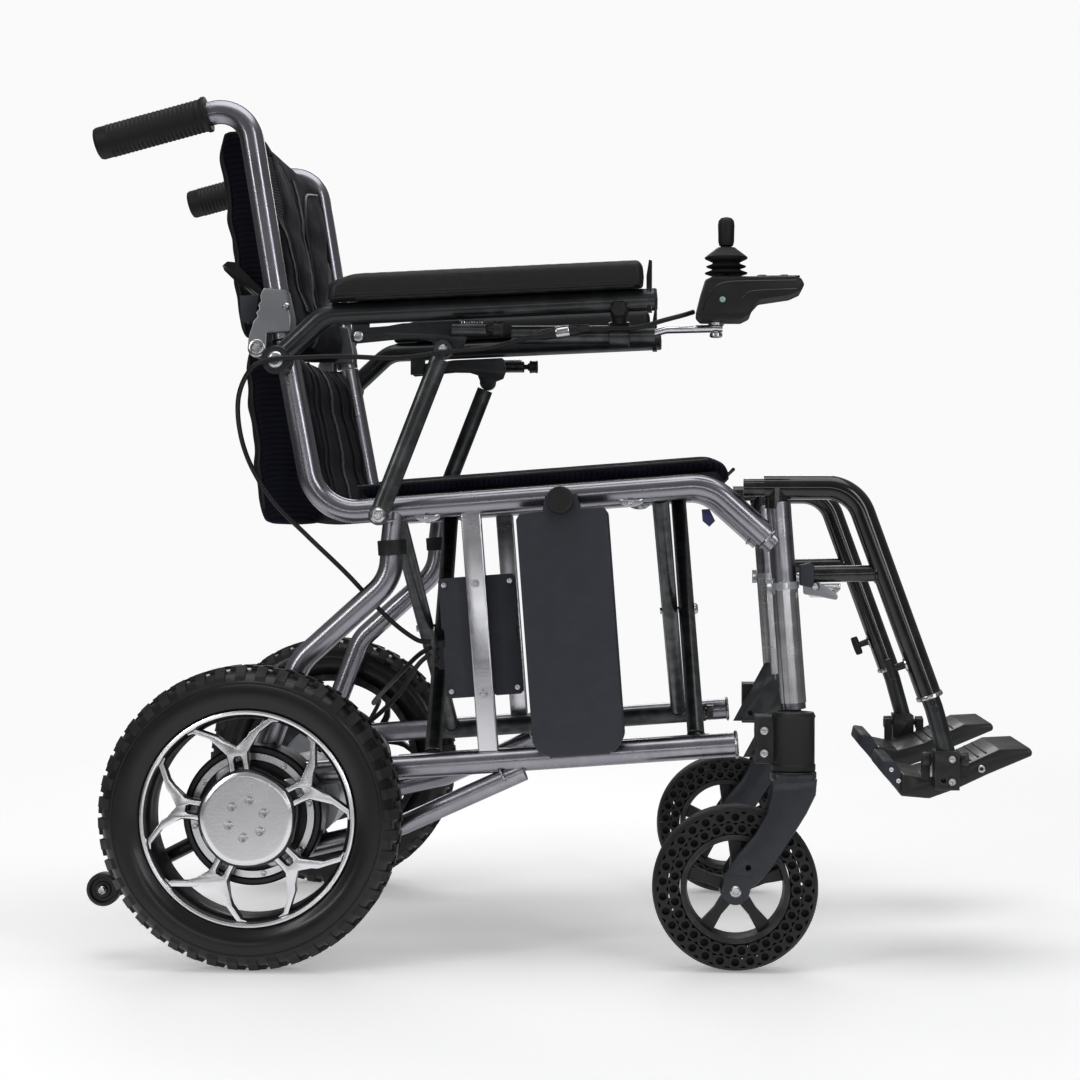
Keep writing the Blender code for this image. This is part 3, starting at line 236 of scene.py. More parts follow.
# %% flat plate with holes and a softened edge
def add_plate(work, outline, y_from, y_to, holes=(), edge=0.0006, place=None):
    """An (x, z) outline from one y to another; holes are (x, z, radius) or outlines."""
    curve = bpy.data.curves.new("outline", "CURVE")
    curve.dimensions, curve.fill_mode = "2D", "BOTH"
    thick = abs(y_to - y_from)
    edge = min(edge, thick * 0.35)
    curve.bevel_depth, curve.bevel_resolution = edge, 1
    curve.extrude, curve.offset = thick / 2 - edge, -edge
    rings = [outline] + [arc(*h, 0, 342, 19) if not hasattr(h[0], "__len__") else h for h in holes]
    for ring in rings:
        line = curve.splines.new("POLY")
        line.points.add(len(ring) - 1)
        line.use_cyclic_u = True
        for spot, p in zip(line.points, ring):
            spot.co = (p[0], p[1], 0, 1)
    holder = bpy.data.objects.new("outline", curve)
    bpy.context.scene.collection.objects.link(holder)
    made = bpy.data.meshes.new_from_object(holder.evaluated_get(bpy.context.evaluated_depsgraph_get()))
    bpy.data.objects.remove(holder, do_unlink=True)
    stand = Matrix.Translation((0, (y_from + y_to) / 2, 0)) @ Matrix.Rotation(math.pi / 2, 4, "X")
    made.transform(stand if place is None else place)
    work.from_mesh(made)
    bpy.data.meshes.remove(made)


def plate(name, outline, y_from, y_to, finish, holes=(), edge=0.0006):
    work = bmesh.new()
    add_plate(work, outline, y_from, y_to, holes, edge)
    return done(work, name, finish, 30)


# %% socket screws, button heads and nuts
def six_sided(r):
    return lambda a, q, h: (math.cos(math.pi / 6) / math.cos((a % (math.pi / 3)) - math.pi / 6)
            if abs(q - r) < 0.00001 else 1)


def add_screw(work, at, axis, r, tall=None, dished=False):
    """A socket-head screw, seated at a point and standing along the axis."""
    h = tall or r * 0.8
    key = r * 0.5
    top = [(r, 0), (r, h * 0.75), (r * 0.9, h)] if not dished else [(r, 0), (r * 0.97, h * 0.3),
            (r * 0.82, h * 0.7), (r * 0.6, h)]
    profile = top + [(key * 1.12, h), (key, h * 0.96), (key, h * 0.35), (0, h * 0.3)]
    add_lathe(work, profile, at, axis, 24, shape=six_sided(key))


def screws(name, node, places, finish, axis=(0, 1, 0)):
    """Several screws of one body as one piece; each place is (x, y, z, radius)."""
    work = bmesh.new()
    for x, y, z, r in places:
        add_screw(work, (x, y, z), axis, r)
    return settle(done(work, name, finish, 30, weld=False), node)


def weld_bead(work, centre, normal, r, lumps=26, size=0.0016):
    """A stacked-coin bead round a tube joint."""
    turn = Vector(normal).to_track_quat("Z", "Y").to_matrix()
    points = []
    for i in range(lumps * 3):
        a = math.tau * i / (lumps * 3)
        points.append(Vector(centre) + turn @ Vector((r * math.cos(a), r * math.sin(a), 0)))
    add_sweep(work, points, [size * (1.12 if i % 3 else 0.86) for i in range(len(points))], sides=8,
            up=normal, closed=True)


print("helpers ready")

# %% [markdown]
# Finishes. On the real chair the same few things happen on many materials: edges rub bright,
# moulded surfaces carry a fine grain, cloth is a mesh of threads and dust settles on whatever
# faces up. Each of these is one node group with named sockets, placed in each material with its
# own values. Baked pictures could do it too, but groups stay sharp at any distance.

# %% a small kit for building node groups
def new_group(name, inputs, outputs):
    tree = bpy.data.node_groups.new(name, "ShaderNodeTree")
    for label, kind, value in inputs:
        made = tree.interface.new_socket(label, in_out="INPUT", socket_type="NodeSocket" + kind)
        made.default_value = value
    for label, kind in outputs:
        tree.interface.new_socket(label, in_out="OUTPUT", socket_type="NodeSocket" + kind)
    return tree, tree.nodes.new("NodeGroupInput"), tree.nodes.new("NodeGroupOutput")


def node(tree, kind, links=None, **settings):
    """A node; links is {input: socket or value}."""
    made = tree.nodes.new("ShaderNode" + kind)
    for label, value in settings.items():
        setattr(made, label, value)
    for label, value in (links or {}).items():
        if hasattr(value, "is_output"):
            tree.links.new(value, made.inputs[label])
        else:
            made.inputs[label].default_value = value
    return made


def math_node(tree, what, a, b=0.0, c=0.0, clamp=False):
    return node(tree, "Math", {0: a, 1: b, 2: c}, operation=what, use_clamp=clamp).outputs[0]


# %% group: rubbed edges
wear, given, out = new_group("edge_wear", [("Amount", "Float", 0.5), ("Patch Scale", "Float", 60.0)],
        [("Mask", "Float")])
sharpness = node(wear, "NewGeometry").outputs["Pointiness"]
edges = node(wear, "MapRange", {"Value": sharpness, "From Min": 0.53, "From Max": 0.62}).outputs[0]
patches = node(wear, "TexNoise", {"Vector": node(wear, "TexCoord").outputs["Object"],
        "Scale": given.outputs["Patch Scale"], "Detail": 4.0}).outputs["Fac"]
broken = node(wear, "MapRange", {"Value": patches, "From Min": 0.42, "From Max": 0.62}).outputs[0]
both = math_node(wear, "MULTIPLY", edges, broken)
wear.links.new(math_node(wear, "MULTIPLY", both, given.outputs["Amount"], clamp=True), out.inputs["Mask"])

# %% group: fine surface grain
grain, given, out = new_group("surface_grain",
        [("Scale", "Float", 900.0), ("Stretch", "Vector", (1, 1, 1))],
        [("Height", "Float"), ("Blotch", "Float")])
place = node(grain, "VectorMath", {0: node(grain, "TexCoord").outputs["Object"],
        1: given.outputs["Stretch"]}, operation="MULTIPLY").outputs[0]
fine = node(grain, "TexNoise", {"Vector": place, "Scale": given.outputs["Scale"], "Detail": 3.0,
        "Roughness": 0.6}).outputs["Fac"]
wide = node(grain, "TexNoise", {"Vector": place, "Scale": math_node(grain, "MULTIPLY",
        given.outputs["Scale"], 0.03), "Detail": 5.0}).outputs["Fac"]
grain.links.new(fine, out.inputs["Height"])
grain.links.new(wide, out.inputs["Blotch"])

# %% group: dust on what faces up
dust, given, out = new_group("settled_dust", [("Amount", "Float", 0.2)], [("Mask", "Float")])
facing = node(dust, "SeparateXYZ", {0: node(dust, "NewGeometry").outputs["Normal"]}).outputs["Z"]
upward = node(dust, "MapRange", {"Value": facing, "From Min": 0.2, "From Max": 1.0}).outputs[0]
cloud = node(dust, "TexNoise", {"Vector": node(dust, "TexCoord").outputs["Object"], "Scale": 26.0,
        "Detail": 8.0, "Roughness": 0.7}).outputs["Fac"]
spotty = node(dust, "MapRange", {"Value": cloud, "From Min": 0.45, "From Max": 0.8}).outputs[0]
amount = math_node(dust, "MULTIPLY", math_node(dust, "MULTIPLY", upward, spotty), given.outputs["Amount"])
dust.links.new(amount, out.inputs["Mask"])

# %% group: air-mesh cloth, diagonal threads with small holes between them, and a mask for the painted shade in the holes
weave, given, out = new_group("air_mesh", [("Across", "Float", 0.0), ("Along", "Float", 0.0),
        ("Pitch", "Float", 0.004)], [("Height", "Float"), ("Hole Shade", "Float"), ("Thread", "Float")])
u = math_node(weave, "DIVIDE", given.outputs["Across"], given.outputs["Pitch"])
v = math_node(weave, "DIVIDE", given.outputs["Along"], given.outputs["Pitch"])
first = math_node(weave, "SINE", math_node(weave, "MULTIPLY", math_node(weave, "ADD", u, v), math.pi))
second = math_node(weave, "SINE", math_node(weave, "MULTIPLY", math_node(weave, "SUBTRACT", u, v), math.pi))
first, second = (math_node(weave, "ABSOLUTE", wave) for wave in (first, second))
strands = math_node(weave, "MAXIMUM", first, math_node(weave, "MULTIPLY", second, 0.8))
weave.links.new(strands, out.inputs["Height"])
weave.links.new(node(weave, "MapRange", {"Value": strands, "From Min": 0.55, "From Max": 0.25}).outputs[0],
        out.inputs["Hole Shade"])
weave.links.new(first, out.inputs["Thread"])
print("node groups:", [g.name for g in bpy.data.node_groups])

# %% [markdown]
# One maker sets up every solid finish. Numbers that are the same all over go straight on the
# shader's own sockets, and only what varies over the surface comes from the groups.

# %% base maker for painted, moulded and machined surfaces
def solid(name, color, rough, metal=0.0, coat=0.0, grain_scale=900.0, bump=0.05, spread=0.08,
        wear_amount=0.0, worn=(0.6, 0.6, 0.62), dusty=0.0, stretch=(1, 1, 1), sheen=0.0):
    made = bpy.data.materials.new(name)
    made.use_nodes = True
    tree = made.node_tree
    shader = tree.nodes["Principled BSDF"]
    shader.inputs["Metallic"].default_value = metal
    shader.inputs["Coat Weight"].default_value = coat
    shader.inputs["Coat Roughness"].default_value = 0.08
    shader.inputs["Sheen Weight"].default_value = sheen
    skin = tree.nodes.new("ShaderNodeGroup")
    skin.node_tree = grain
    skin.inputs["Scale"].default_value = grain_scale
    skin.inputs["Stretch"].default_value = stretch
    low = [c * (1 - spread) for c in color]
    high = [min(1, c * (1 + spread)) for c in color]
    tone = node(tree, "Mix", {"Factor": skin.outputs["Blotch"], "A": (*low, 1), "B": (*high, 1)},
            data_type="RGBA").outputs["Result"]
    value = node(tree, "MapRange", {"Value": skin.outputs["Blotch"], "From Min": 0.3, "From Max": 0.7,
            "To Min": rough * 0.86, "To Max": min(1, rough * 1.16)}).outputs[0]
    for kit, strength, tint in ((wear, wear_amount, worn), (dust, dusty, (0.36, 0.35, 0.33))):
        if strength:
            spot = tree.nodes.new("ShaderNodeGroup")
            spot.node_tree = kit
            spot.inputs["Amount"].default_value = strength
            tone = node(tree, "Mix", {"Factor": spot.outputs["Mask"], "A": tone, "B": (*tint, 1)},
                    data_type="RGBA").outputs["Result"]
    tree.links.new(tone, shader.inputs["Base Color"])
    tree.links.new(value, shader.inputs["Roughness"])
    lift = node(tree, "Bump", {"Strength": bump, "Distance": 0.001, "Height": skin.outputs["Height"]})
    tree.links.new(lift.outputs[0], shader.inputs["Normal"])
    return made


# %% the chair's metals, paints, plastics and rubbers
ALLOY = solid("satin_lilac_alloy", (0.34, 0.335, 0.37), 0.27, 1.0, 0.35, 700, 0.03, 0.06, 0.35,
        (0.75, 0.75, 0.77), 0.05)
BRIGHT = solid("brushed_bright_alloy", (0.72, 0.72, 0.75), 0.24, 1.0, 0.0, 500, 0.05, 0.05,
        stretch=(1, 1, 6))
CAST = solid("cast_grey", (0.34, 0.35, 0.37), 0.42, 0.9, 0.0, 420, 0.18, 0.12, 0.4)
CHARCOAL = solid("satin_charcoal", (0.06, 0.064, 0.066), 0.33, 0.75, 0.25, 800, 0.05, 0.12, 0.3,
        (0.3, 0.31, 0.32), 0.06)
ANTHRACITE = solid("anthracite_plate", (0.034, 0.037, 0.042), 0.36, 0.35, 0.2, 1100, 0.1, 0.15, 0.3,
        (0.22, 0.22, 0.23), 0.05)
BLACK_GLOSS = solid("gloss_black_paint", (0.012, 0.012, 0.014), 0.16, 0.25, 0.8, 300, 0.02, 0.1, 0.2,
        (0.25, 0.25, 0.26), 0.05)
MACHINED = solid("machined_face", (0.8, 0.8, 0.82), 0.26, 1.0, 0.0, 420, 0.06, 0.05, stretch=(1, 6, 1))
STEEL = solid("zinc_steel", (0.58, 0.58, 0.6), 0.25, 1.0, 0.0, 600, 0.08, 0.1)
WHEEL_BLACK = solid("wheel_black", (0.012, 0.012, 0.013), 0.32, 0.2, 0.35, 900, 0.05, 0.12, 0.15)
PLASTIC = solid("moulded_black", (0.017, 0.017, 0.018), 0.42, 0.0, 0.0, 1500, 0.22, 0.18, 0.35,
        (0.1, 0.1, 0.1), 0.07)
FOOT_PLASTIC = solid("footplate_black", (0.02, 0.019, 0.019), 0.34, 0.0, 0.15, 1300, 0.2, 0.25, 0.4,
        (0.12, 0.11, 0.1), 0.25)
SLATE = solid("matt_slate", (0.04, 0.043, 0.055), 0.52, 0.0, 0.0, 1600, 0.16, 0.03, 0.2,
        (0.16, 0.165, 0.18), 0.03)
FORK_SLATE = solid("fork_slate", (0.03, 0.033, 0.042), 0.38, 0.15, 0.2, 1200, 0.12, 0.12, 0.3,
        (0.14, 0.15, 0.17), 0.06)
RUBBER = solid("tyre_rubber", (0.014, 0.014, 0.015), 0.56, 0.0, 0.0, 900, 0.2, 0.25, 0.25,
        (0.07, 0.07, 0.07), 0.14)
SIDEWALL = solid("tyre_sidewall", (0.01, 0.01, 0.011), 0.3, 0.0, 0.15, 700, 0.06, 0.2)
SOLID_TYRE = solid("caster_rubber", (0.018, 0.018, 0.019), 0.6, 0.0, 0.0, 1100, 0.25, 0.2, 0.3,
        (0.08, 0.08, 0.08), 0.12)
GRIP_RUBBER = solid("grip_rubber", (0.013, 0.013, 0.014), 0.55, 0.0, 0.0, 1400, 0.2, 0.2, 0.25,
        (0.06, 0.06, 0.06), 0.08)
LEAD_BLACK = solid("lead_jacket", (0.012, 0.012, 0.013), 0.4, 0.0, 0.0, 900, 0.06)
MOTOR_GREY = solid("motor_can", (0.5, 0.51, 0.53), 0.33, 1.0, 0.0, 420, 0.08, 0.1)
DARK_CAN = solid("dark_drum", (0.05, 0.052, 0.055), 0.38, 0.85, 0.1, 500, 0.1, 0.15)
HUSK = solid("clear_saddle", (0.62, 0.63, 0.66), 0.12, 0.55, 0.8, 300, 0.02, 0.05)
BLUE_BAND = solid("blue_hook", (0.05, 0.055, 0.17), 0.45, 0.0, 0.1, 900, 0.05)
print(len(bpy.data.materials), "materials so far")

# %% [markdown]
# Cloth and leather. Real air mesh is two skins with springy threads between them. A thin
# displaced sheet would need millions of faces, so the weave is height and colour in the shader,
# laid out along the two directions of the panel it covers. The shade inside its holes is painted
# in as a near-black colour.

# %% mesh cloth for the seat and for the back
def mesh_cloth(name, across, along, pitch, color, tint):
    made = bpy.data.materials.new(name)
    made.use_nodes = True
    tree = made.node_tree
    shader = tree.nodes["Principled BSDF"]
    shader.inputs["Sheen Weight"].default_value = 0.03
    shader.inputs["Sheen Roughness"].default_value = 0.5
    shader.inputs["Specular IOR Level"].default_value = 0.16
    place = node(tree, "SeparateXYZ", {0: node(tree, "TexCoord").outputs["Object"]})
    cloth = tree.nodes.new("ShaderNodeGroup")
    cloth.node_tree = weave
    cloth.inputs["Pitch"].default_value = pitch
    tree.links.new(place.outputs[across], cloth.inputs["Across"])
    tree.links.new(place.outputs[along], cloth.inputs["Along"])
    fuzz = tree.nodes.new("ShaderNodeGroup")
    fuzz.node_tree = grain
    fuzz.inputs["Scale"].default_value = 1500.0
    tone = node(tree, "Mix", {"Factor": cloth.outputs["Thread"], "A": (*color, 1), "B": (*tint, 1)},
            data_type="RGBA").outputs["Result"]
    # painted shade: the holes between threads are coloured near-black, standing in for the shade inside
    # them
    tone = node(tree, "Mix", {"Factor": cloth.outputs["Hole Shade"], "A": tone, "B": (0.002, 0.002, 0.003, 1)},
            data_type="RGBA").outputs["Result"]
    tree.links.new(tone, shader.inputs["Base Color"])
    value = node(tree, "MapRange", {"Value": fuzz.outputs["Blotch"], "To Min": 0.62, "To Max": 0.95})
    tree.links.new(value.outputs[0], shader.inputs["Roughness"])
    mixed = math_node(tree, "MULTIPLY_ADD", fuzz.outputs["Height"], 0.25, cloth.outputs["Height"])
    lift = node(tree, "Bump", {"Strength": 0.55, "Distance": 0.0012, "Height": mixed})
    tree.links.new(lift.outputs[0], shader.inputs["Normal"])
    return made


SEAT_MESH = mesh_cloth("seat_air_mesh", "Y", "X", 0.0058, (0.004, 0.004, 0.008), (0.012, 0.013, 0.03))
BACK_MESH = mesh_cloth("back_air_mesh", "Y", "Z", 0.0058, (0.003, 0.003, 0.006), (0.008, 0.009, 0.02))


# %% grained leather, plain twill and ribbed webbing
def leather(name, color, rough):
    made = solid(name, color, rough, 0.0, 0.1, 900, 0.1, 0.15, 0.2, (0.06, 0.06, 0.06), 0.08)
    tree = made.node_tree
    cells = node(tree, "TexVoronoi", {"Vector": node(tree, "TexCoord").outputs["Object"], "Scale": 620.0},
            feature="DISTANCE_TO_EDGE")
    creases = node(tree, "MapRange", {"Value": cells.outputs["Distance"], "From Max": 0.18}).outputs[0]
    lift = node(tree, "Bump", {"Strength": 0.35, "Distance": 0.0006, "Height": creases})
    tree.links.new(lift.outputs[0], tree.nodes["Principled BSDF"].inputs["Normal"])
    return made


def ribbed(name, along, pitch, color, strength=0.6):
    made = solid(name, color, 0.72, 0.0, 0.0, 1500, 0.1, 0.15, sheen=0.15)
    tree = made.node_tree
    place = node(tree, "SeparateXYZ", {0: node(tree, "TexCoord").outputs["Object"]}).outputs[along]
    wave = math_node(tree, "ABSOLUTE",
            math_node(tree, "SINE", math_node(tree, "MULTIPLY", place, math.pi / pitch)))
    lift = node(tree, "Bump", {"Strength": strength, "Distance": 0.0008, "Height": wave})
    tree.links.new(lift.outputs[0], tree.nodes["Principled BSDF"].inputs["Normal"])
    return made


LEATHER = leather("armrest_leather", (0.012, 0.012, 0.012), 0.44)
TWILL = ribbed("seat_twill", "Y", 0.0016, (0.01, 0.01, 0.014))
WEBBING = ribbed("ribbed_webbing", "Z", 0.003, (0.016, 0.016, 0.018), 0.8)
NAVY_KNIT = solid("navy_knit", (0.006, 0.006, 0.017), 0.78, 0.0, 0.0, 1600, 0.12, 0.1, sheen=0.03)
NAVY_KNIT.node_tree.nodes["Principled BSDF"].inputs["Specular IOR Level"].default_value = 0.2
PIPING = solid("piping", (0.01, 0.01, 0.012), 0.45, sheen=0.1)
print(len(bpy.data.materials), "materials")

# %% [markdown]
# The side frames. Each is one welded set of alloy tubes: the back post, seat rail and front
# corner are a single bent tube, and the rest is mitred and welded to it. The welds are a
# stacked-coin bead, so each joint gets its own lumpy ring and doesn't look like two pipes that
# pass through each other.

# %% places shared by several pieces
FRAME_Y, TUBE_R = 0.215, 0.0125
SEAT_H, LOWER_H, POST_S = 0.4815, 0.2128, 0.2645
UPRIGHT_S = -0.053
HINGE_X, HINGE_Z = -0.3105, 0.636
AXLE_X, AXLE_Z = -0.3095, 0.155
RECLINE, UPPER_RECLINE = math.radians(10.6), math.radians(9.3)
ARM_Y, ARM_R = 0.248, 0.0115
FLAT_IN, FLAT_OUT = 0.2092, 0.2208
BRACE_R, BRACE_REAR, BRACE_FRONT = 0.011, -0.15, 0.176
BRACE_BARS = (-0.125, 0.153)
PIVOT, STRUT_FOOT = (-0.2855, 0.622), (-0.1795, 0.463)
CASTER_Y, CASTER_X = 0.235, 0.2435
TIP_X, TIP_Z = -0.4722, 0.072


def rail_z(x):
    return SEAT_H / math.cos(PITCH) + x * math.tan(PITCH)


def post_x(z):
    return HINGE_X + 0.027 + (HINGE_Z + 0.004 - z) * math.tan(RECLINE)


def upper_x(z):
    return HINGE_X + 0.026 - (z - HINGE_Z - 0.009) * math.tan(UPPER_RECLINE)


def side_path(side, route, bend=0.05, y=FRAME_Y, steps=12):
    return rounded([(x, side * y, z) for x, z in route], bend, steps)


# %% the bent and welded tubes
def side_frame(side, tag):
    work = bmesh.new()
    split, corner_x, front_bend = HINGE_Z + 0.0085, post_x(SEAT_H - 0.018), 0.158
    foot, head = railwise(POST_S, 0.2455), railwise(POST_S, SEAT_H - 0.0235)
    meet_z = rail_z(front_bend) - (head[0] - front_bend) * math.tan(math.radians(42))
    add_sweep(work, side_path(side, [(post_x(split), split), (corner_x, rail_z(corner_x)),
            (front_bend, rail_z(front_bend)), (head[0] - 0.003, meet_z + 0.003)]), TUBE_R, sides=28)
    add_lathe(work, [(0.009, -0.012), (TUBE_R, -0.012), (TUBE_R, 0.0), (0.0117, 0.001), (0.009, 0.001)],
            (head[0], side * FRAME_Y, head[1]), (-math.sin(PITCH), 0, math.cos(PITCH)), 32, True)
    add_sweep(work, [(foot[0], side * FRAME_Y, foot[1]), (head[0], side * FRAME_Y, head[1] - 0.001)],
            TUBE_R, sides=28)
    add_sweep(work, side_path(side, [railwise(0.205, LOWER_H), railwise(-0.16, LOWER_H),
            (AXLE_X + 0.045, AXLE_Z + 0.038)]), TUBE_R, sides=28)
    add_sweep(work, side_path(side, [railwise(-0.131, SEAT_H - 0.004), railwise(-0.1365, 0.4488),
            railwise(-0.142, 0.408), railwise(-0.2428, 0.3306), (AXLE_X, AXLE_Z + 0.045)]), TUBE_R,
            sides=28)
    add_sweep(work, side_path(side, [railwise(-0.018, LOWER_H - 0.012), (-0.1625, 0.14),
            (AXLE_X + 0.045, 0.115)]), 0.0105, sides=24)
    along = (math.cos(PITCH), 0, math.sin(PITCH))
    up = (-math.sin(PITCH), 0, math.cos(PITCH))
    y = side * FRAME_Y
    for at, way, r in (((head[0] - 0.01, y, meet_z + 0.0095), (0.74, 0, -0.67), TUBE_R),
            (on_rail(y, 0.203, LOWER_H), along, TUBE_R), (on_rail(y, -0.137, SEAT_H - 0.012), up, TUBE_R),
            (on_rail(y, -0.04, LOWER_H - 0.0145), (0.86, 0, 0.5), 0.0108)):
        weld_bead(work, at, way, r + 0.0004)
    tubes = settle(done(work, "frame_tubes_" + tag, ALLOY, weld=False), "side_frame_" + tag,
            "side_frame_" + tag)
    upright(side, tag)
    axle_plate(side, tag)
    return tubes


# %% flat upright with its bolts, and the clamp band on the leg
def upright(side, tag):
    top, foot = railwise(UPRIGHT_S, SEAT_H - 0.01), railwise(UPRIGHT_S, LOWER_H + 0.01)
    work = bmesh.new()
    add_plate(work, [(top[0] - 0.0105, top[1]), (foot[0] - 0.0105, foot[1]), (foot[0] + 0.0105, foot[1]),
            (top[0] + 0.0105, top[1])], side * FLAT_IN, side * FLAT_OUT, edge=0.0022)
    settle(done(work, "upright_" + tag, BRIGHT, 30), "side_frame_" + tag)
    bolts = [(*railwise(UPRIGHT_S, h), 0.0042) for h in (0.2835, 0.398)]
    screws("upright_bolts_" + tag, "side_frame_" + tag, [(x, side * FLAT_OUT, z, r) for x, z, r in bolts],
            STEEL, (0, side, 0))
    band = lathe("leg_clamp_" + tag, mm((12.6, -8), (15, -7.5), (15.2, 7.5), (12.6, 8)),
            on_rail(side * FRAME_Y, -0.1375, 0.4415), PLASTIC, (-0.06, 0, 1), 32, True)
    settle(band, "side_frame_" + tag)
    for s in (-0.098, 0.1135):
        saddle(side, tag, s)


# %% the clear saddles the folding seat tubes drop into
def saddle(side, tag, s):
    x, z = railwise(s, SEAT_H - TUBE_R - 0.0006)
    work = bmesh.new()
    cup = arc(0, 0, 0.0135, 180, 360, 14)
    outline = [(x + px, z + 0.004 + pz * 0.55) for px, pz in cup] + [(x + 0.0165, z + 0.0045),
            (x - 0.0165, z + 0.0045)]
    add_plate(work, outline, side * 0.2245, side * 0.207, edge=0.0012)
    settle(done(work, f"saddle_{'rear' if s < 0 else 'front'}_{tag}", HUSK, 30), "side_frame_" + tag)
    screws(f"saddle_screw_{'rear' if s < 0 else 'front'}_{tag}", "side_frame_" + tag,
            [(x, side * 0.2243, z + 0.0005, 0.0031)], STEEL, (0, side, 0))


# %% axle plate, caster gusset, tip arm and hinge lug
def axle_plate(side, tag):
    y = side * FRAME_Y
    ring = mm((31.8, -12.5), (68.5, -12.5), (70, -11), (70, 11), (68.5, 12.5), (31.8, 12.5))
    plate_piece = lathe("axle_plate_" + tag, ring, (AXLE_X, y, AXLE_Z), CHARCOAL, (0, side, 0), 64, True)
    settle(plate_piece, "side_frame_" + tag)
    work = bmesh.new()
    inner = side * (FRAME_Y - 0.006)
    add_sweep(work, [(AXLE_X - 0.045, inner, AXLE_Z - 0.0226), (TIP_X, inner, TIP_Z)], 0.008, sides=20)
    add_lathe(work, mm((0, -8.5), (9.5, -8.5), (10.5, -7.5), (10.5, 6.5), (9.5, 7.5), (0, 7.5)),
            (TIP_X, inner, TIP_Z), (0, side, 0), 28)
    settle(done(work, "tip_arm_" + tag, BLACK_GLOSS), "side_frame_" + tag)
    work = bmesh.new()
    add_plate(work, mm((193.5, 214), (247.5, 214), (255.5, 285), (231.5, 285)), side * 0.2026,
            side * 0.2066, [(0.214, 0.224, 0.003)])
    lug_x = post_x(HINGE_Z)
    add_plate(work, [(lug_x, HINGE_Z + 0.005), (lug_x, HINGE_Z - 0.016)] + arc(HINGE_X, HINGE_Z, 0.009, 260,
            100, 12), side * FLAT_IN, side * FLAT_OUT)
    for s, sign in ((BRACE_REAR, -1), (BRACE_FRONT, 1)):
        x, z = railwise(s + sign * 0.0058, LOWER_H)
        add_plate(work, rect(x - 0.004, x + 0.004, z - 0.008, z + 0.008), side * 0.2085, side * 0.1825)
        near, far = railwise(s - sign * 0.016, LOWER_H), (x, z)
        add_sweep(work, [(near[0], side * 0.19, near[1]), (far[0], side * 0.19, far[1])], 0.005)
    settle(done(work, "frame_lugs_" + tag, CHARCOAL, 30), "side_frame_" + tag)
    work = bmesh.new()
    for x, z, r, low, high in ((*PIVOT, 0.005, 0.221, ARM_Y + 0.014), (*STRUT_FOOT, 0.004, 0.2225, 0.2627),
            (TIP_X, TIP_Z, 0.003, 0.2165, 0.2345)):
        add_sweep(work, [(x, side * low, z), (x, side * high, z)], r)
    settle(done(work, "pivot_pins_" + tag, STEEL), "side_frame_" + tag)
    work = bmesh.new()
    for x, z, r, y0 in ((*PIVOT, 0.009, ARM_Y + 0.0131), (*STRUT_FOOT, 0.0085, 0.2619),
            (TIP_X, TIP_Z, 0.0052, 0.2337)):
        add_screw(work, (x, side * y0, z), (0, side, 0), r, 0.0036, True)
    settle(done(work, "pivot_heads_" + tag, STEEL, 30, weld=False), "side_frame_" + tag)
    if side < 0:
        hook_strip()


# %% bright sleeve and latch on each front post
def post_sleeve(side, tag):
    low, high = railwise(POST_S, 0.252), railwise(POST_S, 0.37)
    work = bmesh.new()
    add_sweep(work, [(low[0], side * FRAME_Y, low[1]), (high[0], side * FRAME_Y, high[1])], 0.0134,
            sides=36, ribs=12)
    settle(done(work, "post_sleeve_" + tag, BRIGHT), "side_frame_" + tag)
    x, z = railwise(POST_S, 0.3725)
    collar = lathe("post_collar_" + tag, mm((12.6, -4), (14.6, -3.4), (14.6, 3.4), (12.6, 4)),
            (x, side * FRAME_Y, z), HUSK, (-math.sin(PITCH), 0, math.cos(PITCH)), 32, True)
    settle(collar, "side_frame_" + tag)
    x, z = railwise(POST_S - 0.0145, 0.3735)
    catch = plate("post_catch_" + tag, rect(x - 0.004, x + 0.002, z - 0.009, z + 0.007), side * 0.2105,
            side * 0.2195, HUSK)
    settle(catch, "side_frame_" + tag)


def hook_strip():
    """A fabric strap end that hangs below the seat rail near its front."""
    work = bmesh.new()
    add_plate(work, mm((150, 470), (158, 470.5), (164, 458), (158, 452), (151, 458)), -0.1985, -0.196,
            edge=0.0006)
    settle(done(work, "strap_end", BLUE_BAND, 30), "side_frame_right")


for side, tag in SIDES:
    side_frame(side, tag)
    post_sleeve(side, tag)
print("side frames made")

# %% [markdown]
# Caster housings and the motors. The housing is a black moulding bolted to the frame with two
# bright screws. Each motor is a drum behind the wheel with a bright ring of screws on its face,
# seen between the spokes, and a can that sticks inwards.

# %% caster housing
def caster_housing(side, tag):
    low, high = 0.204, 0.2635
    x, y = CASTER_X, side * CASTER_Y
    work = bmesh.new()
    add_lathe(work, [(0.0068, low), (0.0215, low), (0.0225, low + 0.001), (0.0225, low + 0.006),
            (0.0216, low + 0.0075), (0.0216, high - 0.006), (0.0225, high - 0.004), (0.0205, high),
            (0, high)], (x, y, 0), (0, 0, 1), 48)
    add_plate(work, rect(x - 0.039, x - 0.008, low + 0.007, high - 0.004), side * 0.208, side * 0.242,
            edge=0.003)
    settle(done(work, "caster_housing_shell_" + tag, PLASTIC, 30), "caster_housing_" + tag,
            "caster_housing_" + tag)
    screws("housing_bolts_" + tag, "caster_housing_" + tag,
            [(x - 0.03, side * 0.242, z, 0.0046) for z in (low + 0.018, low + 0.041)], STEEL, (0, side, 0))


